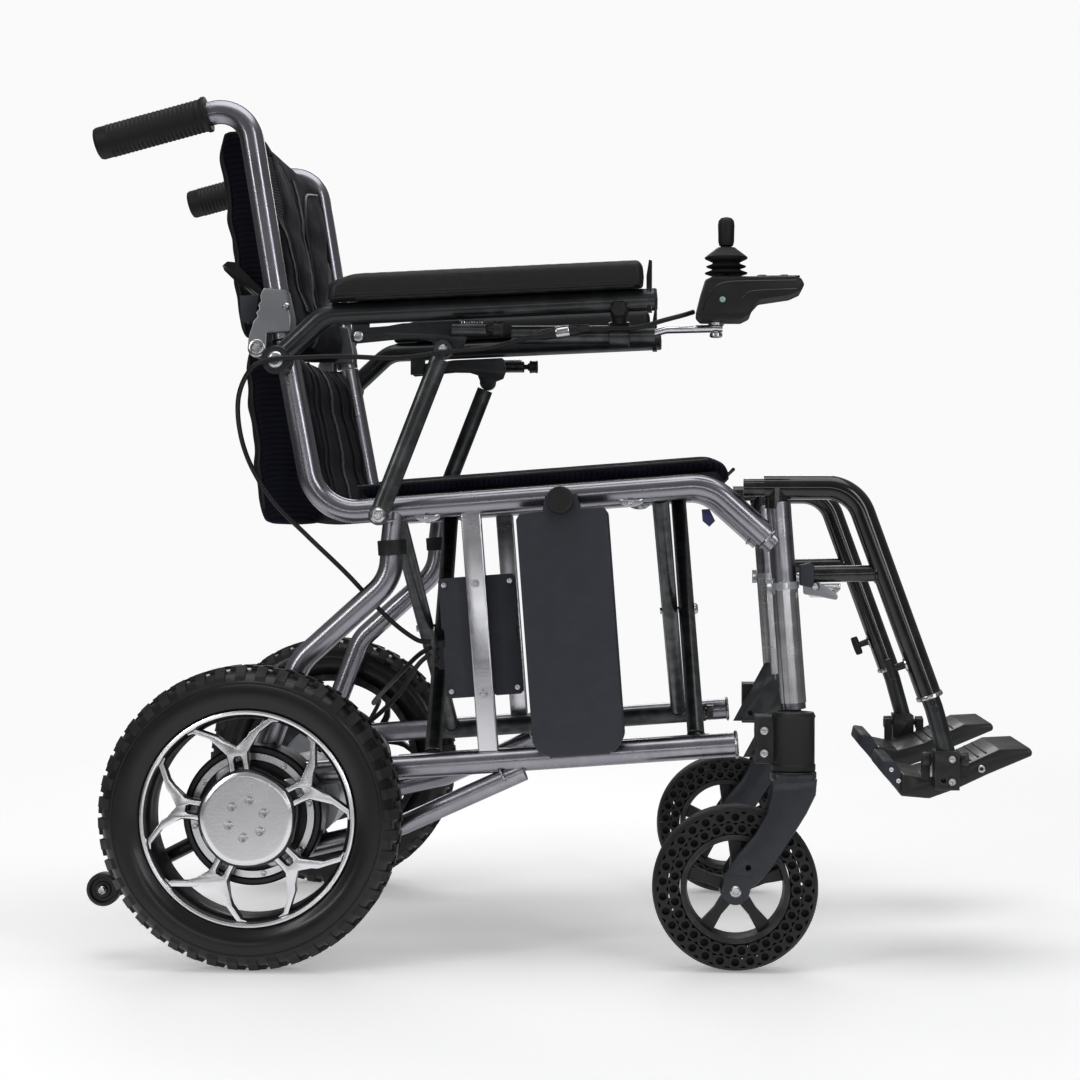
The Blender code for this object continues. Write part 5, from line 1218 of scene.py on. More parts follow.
# %% [markdown]
# The joystick pod on its rail. It is a moulding with a slanted back, a long thin key panel
# that reaches forward and a swept groove on its side. The boot under the stick is a rubber
# bellows with sharp folds. The keys are plain, with a small status window between them.

# %% pod, groove, panel and keys
JOY_X, JOY_Z = 0.1735, 0.7035


def joystick_pod():
    x, z = JOY_X, JOY_Z
    side_view = [(x - 0.031, 0.6655), (x - 0.0262, 0.66), (x + 0.015, 0.6597), (x + 0.0235, 0.664),
            (x + 0.0262, 0.6715), (x + 0.033, 0.679), (x + 0.064, 0.6835), (x + 0.0745, 0.6882),
            (x + 0.0778, 0.695), (x + 0.0745, 0.7012), (x + 0.068, z), (x - 0.014, z), (x - 0.0215, 0.7),
            (x - 0.0262, 0.685)]
    outline = soft_corners(side_view, 0.0042, 5)
    work = bmesh.new()
    add_plate(work, outline, -(ARM_Y - 0.026), -(ARM_Y + 0.026), edge=0.0034)
    pod = done(work, "joystick_pod", PLASTIC, 30)
    settle(pod, "joystick_housing", "joystick_housing")
    groove = smooth_route([(x + 0.07, -ARM_Y - 0.026, 0.699), (x + 0.03, -ARM_Y - 0.026, 0.6985),
            (x + 0.002, -ARM_Y - 0.026, 0.6975), (x - 0.012, -ARM_Y - 0.026, 0.6925),
            (x - 0.0205, -ARM_Y - 0.026, 0.68), (x - 0.024, -ARM_Y - 0.026, 0.668)], 40)
    line = tube("pod_groove", groove, 0.0005, BLACK_GLOSS, sides=6)
    settle(line, "joystick_housing")
    lower = smooth_route([(x + 0.07, -ARM_Y - 0.026, 0.6905), (x + 0.032, -ARM_Y - 0.026, 0.689),
            (x + 0.021, -ARM_Y - 0.026, 0.6865), (x + 0.015, -ARM_Y - 0.026, 0.68)], 24)
    settle(tube("pod_crease", lower, 0.0004, BLACK_GLOSS, sides=6), "joystick_housing")
    work = bmesh.new()
    add_plate(work, offsets(x, z, (30, -0.2), (73.5, -0.2), (73, 0.9), (30, 0.9)), -(ARM_Y - 0.0205),
            -(ARM_Y + 0.0205), edge=0.0004)
    settle(done(work, "key_panel", BLACK_GLOSS, 30), "joystick_housing")
    keys = bmesh.new()
    for dx, dy in ((0.036, -0.012), (0.036, 0.012), (0.058, -0.012), (0.058, 0.012)):
        add_lathe(keys, mm((4.8, 0), (4.8, 0.8), (4.2, 1.4), (0, 1.6)), (x + dx, -ARM_Y + dy, z + 0.0008),
                (0, 0, 1), 28)
    settle(done(keys, "pod_keys", SLATE, 40), "joystick_housing")
    glow = solid("status_window", (0.35, 0.52, 0.5), 0.2, 0.0, 0.5, 400, 0.02)
    window = bmesh.new()
    add_lathe(window, mm((3, 0), (3, 0.3), (2.6, 0.6), (0, 0.8)), (x - 0.004, -ARM_Y - 0.0258, 0.68),
            (0, -1, 0), 24)
    settle(done(window, "pod_badge_lamp", glow), "joystick_housing")
    ring = lathe("power_key", mm((0, -2.2), (6, -2.2), (6.2, -1.6), (6.2, 1), (5.6, 1.8), (3, 1.5),
            (0, 1.4)), (x + 0.046, -ARM_Y, z), MACHINED, (0, 0, 1), 40)
    settle(ring, "power_button", "power_button")


# %% bellows and stick
def stick_and_boot():
    foot = (JOY_X, -ARM_Y, JOY_Z + 0.0085)
    bellows = mm((4.6, -4), (17, -5), (21.2, -3.6), (21.6, -2.6), (15, 0), (14, 1.2), (19.5, 3), (20.2, 4),
            (14.5, 6.2), (13.5, 7.8), (21.2, 11.5), (21.8, 12.8), (20.5, 14), (12, 20.5), (9.2, 22.8),
            (4.6, 22.5))
    settle(lathe("stick_bellows", bellows, foot, GRIP_RUBBER, (0, 0, 1), 64, True, sharp=50),
            "joystick_boot", "joystick_boot")
    stick = mm((0, -3), (2.8, -3), (3, 22.5), (7, 25), (8, 29), (8.2, 40), (8.4, 45.5), (7.8, 50),
            (5.6, 52.6), (2.8, 53.5), (0, 53.6))
    settle(lathe("stick_knob", stick, foot, GRIP_RUBBER, (0, 0, 1), 48), "joystick_stick", "joystick_stick")


# %% rail, flat silver bracket and the bolt under the pod
def joystick_rail():
    work = bmesh.new()
    add_sweep(work, [(-0.044, -ARM_Y, 0.647), (0.1015, -ARM_Y, 0.647)], 0.0095, sides=32)
    settle(done(work, "mount_rail", CHARCOAL), "joystick_rail", "joystick_rail")
    bar = bmesh.new()
    add_sweep(bar, rounded([(0.094, -ARM_Y, 0.647), (0.113, -ARM_Y, 0.652), (0.17, -ARM_Y, 0.6532)], 0.01),
            0.0062, sides=24, flat=0.62, up=(0, 0, 1))
    settle(done(bar, "mount_bar", BRIGHT), "joystick_rail")
    post = bmesh.new()
    x = JOY_X - 0.01
    add_lathe(post, mm((0, 644), (5.2, 644), (6.4, 645), (6.4, 648.2), (5, 649), (3.6, 649.2), (3.6, 656),
            (7.8, 656.2), (8, 659), (0, 659)), (x, -ARM_Y, 0), (0, 0, 1), 32)
    settle(done(post, "mount_bolt", STEEL), "joystick_rail")


joystick_pod()
stick_and_boot()
joystick_rail()
print("joystick made")

# %% [markdown]
# The leads. A lead is a fixed length of soft rubber, so each one is a single smooth curve of
# its real thickness. The joystick lead runs back under the armrest, with its connector on the
# way, and crosses the armrest pivot right at the axis, where a flip barely moves it. From
# there the main lead hangs behind the post and goes under the seat to the controller, and two
# more leave the controller for the motors.

# %% routes of the four leads
ROUTES = {"stick_lead": mm((140.5, -248, 670), (130, -256, 666), (110, -264, 660), (85, -266, 653),
        (55, -266, 652), (25, -265, 651), (-20, -265, 644), (-65, -266, 633), (-110, -276, 628),
        (-160, -276, 622), (-215, -274, 624), (-260, -273, 623), (-285.1, -272.5, 622)),
        "body_lead": mm((-285.9, -272.5, 622), (-308, -269, 613), (-325, -252, 586), (-328, -232, 550),
        (-318, -220, 513), (-295, -214, 476), (-262, -208, 442), (-220, -196, 400), (-180, -188, 356),
        (-150, -186.5, 333), (-134, -186, 330)), "right_motor_lead": mm((-134, -186, 318),
        (-148, -186, 305), (-168, -183, 275), (-200, -178, 245), (-235, -170, 229), (-256, -164, 212)),
        "left_motor_lead": mm((-134, -180, 324), (-150, -174, 314), (-178, -145, 287), (-205, -90, 262),
        (-218, -20, 251), (-224, 60, 248), (-233, 125, 238), (-250, 160, 212))}


def lead(name, node_name, stands=True):
    path = smooth_route(ROUTES[name], 90)
    length = sum((b - a).length for a, b in zip(path, path[1:]))
    work = bmesh.new()
    add_sweep(work, path, 0.0025, sides=14, up=(0, 0.3, 1))
    item = done(work, name, LEAD_BLACK, weld=False)
    settle(item, node_name, *([node_name] if stands else []))
    print(name, round(length, 3), "m long")
    return item, path, length


# %% connector on the joystick lead, and the leads themselves
def connector():
    run = (Vector((-0.02, -0.265, 0.644)) - Vector((0.025, -0.265, 0.651))).normalized()
    at = Vector((0.013, -0.265, 0.6494))
    shell = bmesh.new()
    add_lathe(shell, mm((2.6, -23), (3.6, -22.5), (4.6, -12), (5.4, -11), (5.6, -3), (5, -2.2),
            (2.6, -2.2)), at, run, 32, True)
    add_lathe(shell, mm((2.6, 11), (5.4, 11.2), (5.6, 12.5), (5.4, 25), (4.4, 26.8), (3.4, 35),
            (2.6, 35.5)), at, run, 32, True)
    black = settle(done(shell, "connector_shells", PLASTIC), "joystick_lead")
    barrel = lathe("connector_barrel", mm((2.6, -2.4), (5.6, -2.4), (6.1, -1.4), (6.1, 9.8), (5.6, 11.2),
            (2.6, 11.2)), at, STEEL, run, 48, True, shape=lambda a, r,
            h: 1 + (0.025 * math.cos(16 * a) if r > 0.006 else 0))
    settle(barrel, "joystick_lead")
    return black, barrel


item, path, length = lead("stick_lead", "joystick_lead")
connector()
for name in ("body_lead", "right_motor_lead", "left_motor_lead"):
    item, path, length = lead(name, "main_lead", name == "body_lead")
    if name == "left_motor_lead":
        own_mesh(item)

# %% [markdown]
# Seat and back. Both are foam pads in a black and navy air mesh with piped edges. A pad is
# swept as a closed form whose sides pull in, and then blown up a little by a cloth solver with
# air pressure inside, because a sewn cover rounds itself that way. No point may move further
# than a few millimetres, so the pads keep their sizes and stay off the tubes.

# %% pad form and air pressure
def pad_form(name, rings, finish, steps=72, hollow=0.0):
    """Each ring is a centre, a thickness direction, a half width and a half thickness."""
    work = bmesh.new()
    loops = []
    for centre, across, wide, thick in rings:
        loop = []
        for k in range(steps):
            a = math.tau * (k + 0.5) / steps
            c, s = math.cos(a), math.sin(a)
            y = math.copysign(abs(c) ** 0.24, c) * wide
            dish = hollow * (1 - (y / wide) ** 2) if s > 0 else 0
            loop.append(work.verts.new(Vector(centre) + Vector((0, y, 0)) + Vector(across)
                    * (math.copysign(abs(s) ** 0.3, s) * thick - dish)))
        loops.append(loop)
    for a, b in zip(loops, loops[1:]):
        for k in range(steps):
            n = (k + 1) % steps
            work.faces.new((a[k], a[n], b[n], b[k]))
    work.faces.new(loops[0][::-1])
    work.faces.new(loops[-1])
    return done(work, name, finish, 60)


def keep_modifiers(item):
    bpy.context.view_layer.update()
    mesh = bpy.data.meshes.new_from_object(item.evaluated_get(bpy.context.evaluated_depsgraph_get()))
    finish = item.data.materials[0]
    item.modifiers.clear()
    item.data = mesh
    mesh.materials.clear()
    mesh.materials.append(finish)
    mesh.shade_smooth()


def blow_up(item, cap, cell=0.006):
    """Air pressure rounds the cover, and no point moves further than the cap."""
    even = item.modifiers.new("even", "REMESH")
    even.mode, even.voxel_size = "VOXEL", cell
    keep_modifiers(item)
    start = [vert.co.copy() for vert in item.data.vertices]
    air = item.modifiers.new("air", "CLOTH")
    air.settings.quality = 5
    air.settings.use_pressure = True
    air.settings.uniform_pressure_force = 4
    air.settings.effector_weights.gravity = 0
    for step in range(1, 21):
        bpy.context.scene.frame_set(step)
    shape = item.evaluated_get(bpy.context.evaluated_depsgraph_get()).to_mesh()
    moved = [vert.co.copy() for vert in shape.vertices]
    item.modifiers.clear()
    bpy.context.scene.frame_set(1)
    for vert, was, now in zip(item.data.vertices, start, moved):
        step = now - was
        vert.co = was + step * min(1, cap / max(step.length, 0.000001))
    item.data.shade_smooth()
    smooth = item.modifiers.new("smooth", "SUBSURF")
    smooth.levels = smooth.render_levels = 1
    keep_modifiers(item)


# %% seat pad with a rolled front edge
SEAT_LOW = SEAT_H + BRACE_R + 0.0005
SEAT_MID = SEAT_LOW + 0.0092


def seat_line():
    corner = [(-0.176, SEAT_MID), (0.195, SEAT_MID), (0.2135, SEAT_MID - 0.004),
            (0.2165, SEAT_MID - 0.0205)]
    return [(p.x, p.z) for p in rounded([(s, 0, h) for s, h in corner], 0.012, 8)]


def seat_rings():
    line = seat_line()
    long = [(line[0][0] + (line[1][0] - line[0][0]) * t / 48, SEAT_MID) for t in range(48)] + line[1:]
    rings, total = [], len(long)
    for i, (s, h) in enumerate(long):
        a, b = long[max(0, i - 1)], long[min(total - 1, i + 1)]
        run = Vector((b[0] - a[0], 0, b[1] - a[1])).normalized()
        x, z = railwise(s, h)
        run_world = Vector((run.x * math.cos(PITCH) - run.z * math.sin(PITCH), 0, run.x * math.sin(PITCH)
                + run.z * math.cos(PITCH)))
        across = Vector((-run_world.z, 0, run_world.x))
        u = i / (total - 1)
        end = min(1, (i + 0.35) / 3.0) ** 0.5 * min(1, (total - 1 - i + 0.6) / 2.5) ** 0.5
        pull = 0.005 * math.sin(math.pi * min(1, max(0, u)))
        rings.append(((x, 0, z), across, 0.1965 - pull, (0.0078 if s < 0.2 else 0.0066) * end))
    return rings


def seat_pad():
    pad = pad_form("seat_pad", seat_rings(), SEAT_MESH)
    blow_up(pad, 0.0035, 0.0055)
    settle(pad, "seat_cushion", "seat_cushion")
    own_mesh(pad)
    for side, tag in SIDES:
        route = [on_rail(side * (0.1972 - 0.0035 * math.sin(math.pi * (s + 0.176) / 0.375)), s,
                SEAT_MID + 0.0052) for s in [-0.172 + 0.0092 * k for k in range(41)]]
        cord = tube("seat_piping_" + tag, route, 0.0019, PIPING, sides=12)
        settle(cord, "seat_cushion")
        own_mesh(cord)
    x, z = railwise(0.2215, SEAT_MID - 0.006)
    roll = tube("seat_front_piping", [(x, -0.19 + 0.0095 * k, z) for k in range(41)], 0.0019, PIPING,
            sides=12, up=(0, 0, 1))
    settle(roll, "seat_cushion")
    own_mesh(roll)


def under_sling():
    """The woven base that the pad is sewn to, held along both rails."""
    work = bmesh.new()
    corners = [railwise(-0.17, SEAT_LOW + 0.0006), railwise(0.205, SEAT_LOW + 0.0006),
            railwise(0.205, SEAT_LOW + 0.0022), railwise(-0.17, SEAT_LOW + 0.0022)]
    add_plate(work, corners, -0.1985, 0.1985, edge=0.0004)
    sling = done(work, "seat_sling", TWILL, 30)
    settle(sling, "seat_cushion")
    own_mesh(sling)


seat_pad()
under_sling()
print("seat made")


# %% back pads, lower and upper
SPLIT_Z = HINGE_Z + 0.0085
SHELLS = {}


def back_span(z):
    """Rear and front x of the back pad at a height."""
    split = HINGE_Z + 0.0085
    if z < split:
        rear = -0.3245 - (z - 0.463) * 0.107
        front = min(-0.2325, post_x(z) + 0.0125) if z < 0.475 else post_x(z) + 0.0125
        return rear, front
    return -0.344 - (z - split) * 0.118, upper_x(z) + 0.0125


def back_pad(name, low, high, node_name, lift):
    rings, count = [], 34
    for i in range(count + 1):
        z = low + (high - low) * i / count
        rear, front = back_span(z)
        ends = min(1, (i + 0.4) / 3.2) ** 0.5 * min(1, (count - i + 0.4) / 3.2) ** 0.5
        slack = 0.0012 * math.sin(z * 95) + 0.0008 * math.sin(z * 190 + 1)
        mid, half = (rear + front) / 2, (front - rear) / 2 - 0.005
        rings.append(((mid + lift + slack, 0, z), (1, 0, 0),
                0.1868 - 0.0035 * math.sin(math.pi * i / count), half * (0.72 + 0.28 * ends)))
    pad = pad_form(name, rings, BACK_MESH, hollow=0.01)
    blow_up(pad, 0.0042, 0.0065)
    bpy.context.view_layer.update()
    SHELLS[node_name] = BVHTree.FromObject(pad, bpy.context.evaluated_depsgraph_get())
    settle(pad, node_name, node_name)
    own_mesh(pad)


def shell_at(z):
    return SHELLS["back_cover_upper" if z > SPLIT_Z else "back_cover_lower"]


def corner(z, side, rear):
    """Where the pad's side turns into its rear or front face."""
    back, front = back_span(z)
    outside = Vector((back - 0.01 if rear else front + 0.01, side * 0.197, z))
    spot = shell_at(z).find_nearest(outside)[0]
    return spot + (outside - spot).normalized() * 0.0008


def back_piping(name, node_name, points):
    cord = tube(name, smooth_route(points, 40), 0.0018, PIPING, sides=12, up=(1, 0, 0.1))
    settle(cord, node_name)
    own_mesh(cord)


def face_x(z, y):
    """Front face of the finished pad, found by looking at it from the front."""
    return shell_at(z).ray_cast(Vector((0.2, y, z)), Vector((-1, 0, 0)))[0].x


UPPER_Z = [0.655 + 0.0195 * k for k in range(11)]
LOWER_Z = [0.468 + 0.0165 * k for k in range(11)]
back_pad("back_pad_lower", 0.452, SPLIT_Z - 0.0045, "back_cover_lower", 0.0)
back_pad("back_pad_upper", SPLIT_Z + 0.004, 0.873, "back_cover_upper", 0.0)
for side, tag in SIDES:
    for rear, label in ((True, "rear"), (False, "front")):
        back_piping(f"upper_{label}_piping_{tag}", "back_cover_upper",
                [corner(z, side, rear) for z in UPPER_Z])
        back_piping(f"lower_{label}_piping_{tag}", "back_cover_lower",
                [corner(z, side, rear) for z in LOWER_Z])


# %% lens-shaped bolsters in smooth navy knit, edged with a cord, and ribbed bands beside them
def between(table, z):
    """Read y at a height from a short table of (z, y)."""
    for (z0, y0), (z1, y1) in zip(table, table[1:]):
        if z0 >= z >= z1:
            return y0 + (y1 - y0) * (z0 - z) / (z0 - z1)
    return table[-1][1]


LENS_OUT = mm((850, 150), (820, 152), (780, 138), (740, 110), (710, 80), (690, 50), (680, 34))
LENS_IN = mm((850, 140), (840, 75), (820, 36), (790, 20), (750, 14), (710, 18), (680, 32))


def lens(side, tag):
    count, across = 34, 12
    work = bmesh.new()
    rows = []
    for i in range(count + 1):
        z = 0.85 + (0.68 - 0.85) * i / count
        a, b = between(LENS_OUT, z), between(LENS_IN, z)
        low, high = [], []
        for k in range(across + 1):
            t = k / across
            y = side * (a + (b - a) * t)
            puff = 0.0052 * (4 * t * (1 - t)) ** 0.6 * math.sin(math.pi * (i + 0.4) / (count + 0.8)) ** 0.5
            high.append(work.verts.new((face_x(z, y) + 0.0012 + puff, y, z)))
            low.append(work.verts.new((face_x(z, y) - 0.003, y, z)))
        rows.append(high + low[::-1])
    total = len(rows[0])
    for p, q in zip(rows, rows[1:]):
        for k in range(total):
            n = (k + 1) % total
            work.faces.new((p[k], p[n], q[n], q[k]))
    work.faces.new(rows[0][::-1])
    work.faces.new(rows[-1])
    panel = done(work, "back_bolster_" + tag, NAVY_KNIT, 50)
    settle(panel, "back_cover_upper")
    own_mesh(panel)
    for label, table in (("outer", LENS_OUT), ("inner", LENS_IN)):
        back_piping(f"bolster_{label}_cord_{tag}", "back_cover_upper",
                [(face_x(z, side * y) + 0.0014, side * y, z) for z, y in table])


def band(name, node_name, low, high, at_y, half=0.0095):
    """A flat ribbed webbing strip up the pad's face; at_y gives its middle at a height."""
    work = bmesh.new()
    rows, count = [], 30
    for i in range(count + 1):
        z = low + (high - low) * i / count
        y = at_y(z)
        rib = 0.0004 if i % 2 else 0
        back_x = [face_x(z, y + dy) for dy in (-half, half)]
        rows.append([work.verts.new(p) for p in ((back_x[0] - 0.001, y - half, z),
                (back_x[0] + 0.0016 + rib, y - half, z), (back_x[1] + 0.0016 + rib, y + half, z),
                (back_x[1] - 0.001, y + half, z))])
    for a, b in zip(rows, rows[1:]):
        for k in range(4):
            n = (k + 1) % 4
            work.faces.new((a[k], a[n], b[n], b[k]))
    work.faces.new(rows[0][::-1])
    work.faces.new(rows[-1])
    item = done(work, name, WEBBING, 30)
    settle(item, node_name)
    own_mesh(item)


for side, tag in SIDES:
    lens(side, tag)
    for label, start, lean in (("lower_seam_", 0.062, 0.25), ("lower_side_seam_", 0.122, 0.14)):
        line = [(z, side * (start + lean * (0.64 - z))) for z in LOWER_Z]
        back_piping(label + tag, "back_cover_lower", [(face_x(z, y) + 0.001, y, z) for z, y in line])
    band("bolster_band_" + tag, "back_cover_upper", 0.69, 0.846, lambda z,
            side=side: side * (between(LENS_OUT, z) + 0.0145))
band("back_middle_band", "back_cover_upper", 0.655, 0.846, lambda z: 0.0, 0.0085)
band("back_middle_band_lower", "back_cover_lower", 0.48, 0.632, lambda z: 0.0, 0.0085)
print("back made")

# %% [markdown]
# Footrests. A gloss black hanger hooks over the front post and hangs forward and down. Its
# brace meets the post in a faceted saddle, and a cast latch block holds it there. A stem
# slides in the low end, set by a T-knob, and carries a moulded footplate that flips up. Behind
# the plate a heel cup stands up, so a foot can't slip back into the caster.

# %% hanger, collar, latch block and saddle
STEM_LOW = Vector((0.3835, 0, 0.278))
STEM_RUN = Vector((0.342, 0, -0.94)).normalized()
LATCH_X, LATCH_Z = railwise(POST_S, 0.384)
LATCH_X += TUBE_R + 0.0032


def hanger(side, tag):
    y = side * FRAME_Y
    top_z = SEAT_H + TUBE_R - 0.0015
    post = railwise(POST_S, SEAT_H)
    corner = STEM_LOW.x - STEM_RUN.x / -STEM_RUN.z * (top_z - STEM_LOW.z)
    work = bmesh.new()
    add_sweep(work, rounded([(post[0] - 0.013, y, top_z), (corner, y, top_z), (STEM_LOW.x, y, STEM_LOW.z)],
            0.04, 16), TUBE_R, sides=40)
    add_sweep(work, [(post[0] - 0.034, y, top_z), (post[0] - 0.006, y, top_z)], [0.0092, 0.0095], sides=28)
    add_sweep(work, [(post[0], y, top_z), (post[0], y, SEAT_H - 0.0105)], [0.0128, 0.0122], sides=32)
    tube_x = STEM_LOW.x - STEM_RUN.x / -STEM_RUN.z * (LATCH_Z - STEM_LOW.z)
    add_sweep(work, [(LATCH_X + 0.003, y, LATCH_Z), (tube_x, y, LATCH_Z + 0.002)], 0.0085, sides=28,
            flat=0.86)
    settle(done(work, "hanger_" + tag, BLACK_GLOSS, 40, weld=False), "footrest_hanger_" + tag,
            "footrest_hanger_" + tag)
    bead = bmesh.new()
    weld_bead(bead, (tube_x - 0.0098, y, LATCH_Z + 0.002), (1, 0, 0), 0.0095, 20, 0.0014)
    settle(done(bead, "hanger_weld_" + tag, BLACK_GLOSS, weld=False), "footrest_hanger_" + tag)
    pin = tube("hanger_pin_" + tag, [on_rail(y, POST_S, SEAT_H - 0.012),
            on_rail(y, POST_S, SEAT_H - 0.045)], 0.0082, STEEL, sides=28)
    settle(pin, "footrest_hanger_" + tag)
    ring = lathe("hanger_ring_" + tag, [(TUBE_R - 0.0004, -0.0035), (TUBE_R + 0.001, -0.0035),
            (TUBE_R + 0.0014, -0.0028), (TUBE_R + 0.0014, 0.0004), (TUBE_R + 0.0006, 0.001),
            (0.0106, 0.001), (0.0106, -0.0035)], (STEM_LOW.x, y, STEM_LOW.z), STEEL, STEM_RUN, 48, True)
    settle(ring, "footrest_hanger_" + tag)
    latch_block(side, tag)


def latch_block(side, tag):
    x, z = LATCH_X, LATCH_Z
    saddle = offsets(x, z, (0.5, -10.5), (11.5, -13), (15, -8), (15, 9.5), (11, 12.5), (0.5, 10))
    settle(plate("hanger_saddle_" + tag, saddle, side * (FRAME_Y - 0.0105), side * (FRAME_Y + 0.0105),
            SLATE, edge=0.0018), "footrest_hanger_" + tag)
    block = offsets(x, z, (6, -9.5), (42, -9), (42, -15), (37, -20.5), (24, -23.5), (12, -23.5), (6, -18))
    settle(plate("latch_block_" + tag, block, side * (FRAME_Y - 0.0038), side * (FRAME_Y + 0.0034), BRIGHT,
            [(x + 0.016, z - 0.012, 0.0027)], 0.0012), "footrest_hanger_" + tag)
    px, pz = x + 0.016, z - 0.012
    blade = offsets(px, pz, (-12, -8), (-12.5, 3), (4, 4.2), (14, -2), (23, -8.8), (22.5, -14), (12, -12),
            (4, -10))
    curved = soft_corners(blade, 0.0022, 5)
    lever = plate("swing_lever_blade_" + tag, curved, side * (FRAME_Y + 0.0037), side * (FRAME_Y + 0.0072),
            CAST, edge=0.0008)
    settle(lever, "swing_lever_" + tag, "swing_lever_" + tag)
    work = bmesh.new()
    add_sweep(work, [(px, side * (FRAME_Y - 0.0045), pz), (px, side * (FRAME_Y + 0.006), pz)], 0.0024)
    add_screw(work, (px, side * (FRAME_Y + 0.007), pz), (0, side, 0), 0.0046, 0.003, True)
    settle(done(work, "swing_lever_pin_" + tag, STEEL, 30, weld=False), "swing_lever_" + tag)


# %% stem, clamp block and T-knob
def stem(side, tag):
    y = side * FRAME_Y
    at = Vector((STEM_LOW.x, y, STEM_LOW.z))
    work = bmesh.new()
    inner, outer = at - STEM_RUN * 0.06, at + STEM_RUN * 0.012
    add_sweep(work, rounded([inner, outer, (0.4, y, 0.222)], 0.02, 12), TUBE_R - 0.0031, sides=32)
    settle(done(work, "stem_tube_" + tag, CHARCOAL, 40), "footrest_stem_" + tag, "footrest_stem_" + tag)
    bx, bz = 0.4, 0.212
    corners = offsets(bx, bz, (-12.5, -26), (-8.5, -28), (12.5, -28), (12.5, 10), (9.5, 12), (-12.5, 12))
    for n, (low, high) in enumerate(((-0.0125, -0.0052), (-0.004, 0.004), (0.0052, 0.0125))):
        shell = plate(f"stem_clamp_{n}_{tag}", corners, side * (FRAME_Y + low), side * (FRAME_Y + high),
                FOOT_PLASTIC if n != 1 else CHARCOAL, [(bx - 0.004, bz - 0.018, 0.0024)] if n != 1 else (),
                0.0009)
        settle(shell, "footrest_stem_" + tag)
    bolts = [(bx + 0.0045, side * (FRAME_Y + 0.0125), bz + 0.004, 0.004),
            (bx + 0.0045, side * (FRAME_Y + 0.0125), bz - 0.019, 0.004)]
    screws("stem_clamp_screws_" + tag, "footrest_stem_" + tag, bolts, STEEL, (0, side, 0))
    holes = bmesh.new()
    for k in range(3):
        centre = at - STEM_RUN * (0.006 - 0.0072 * k - 0.004)
        add_lathe(holes, rect(0.0018, 0.003, -0.0002, 0.0004),
                centre + Vector((0, side * (TUBE_R - 0.003), 0)), (0, side, 0), 16, True)
    settle(done(holes, "stem_index_holes_" + tag, BLACK_GLOSS), "footrest_stem_" + tag)
    tee_knob(tag, at)


def tee_knob(tag, at):
    out = Vector((STEM_RUN.z, 0, -STEM_RUN.x))
    base = at - STEM_RUN * 0.04 + out * (TUBE_R + 0.0008)
    work = bmesh.new()
    add_sweep(work, [base, base + out * 0.0135], [0.004, 0.0034], sides=20)
    tips = [base + out * 0.014 + STEM_RUN * (0.011 * math.sin(math.pi * (k / 12 - 0.5))) for k in range(13)]
    add_sweep(work, tips, [0.0022 + 0.0024 * math.sin(math.pi * (k + 0.6) / 13.2) ** 0.4
            for k in range(13)], sides=20)
    settle(done(work, "tee_knob_" + tag, PLASTIC, 40, weld=False), "t_knob_" + tag, "t_knob_" + tag)
    seat_ring = lathe("tee_knob_boss_" + tag, mm((4.2, -1.2), (7.4, -1.2), (6.8, 0.6), (4.2, 0.6)),
            at - STEM_RUN * 0.04 + out * TUBE_R, STEEL, out, 28, True)
    settle(seat_ring, "footrest_hanger_" + tag)


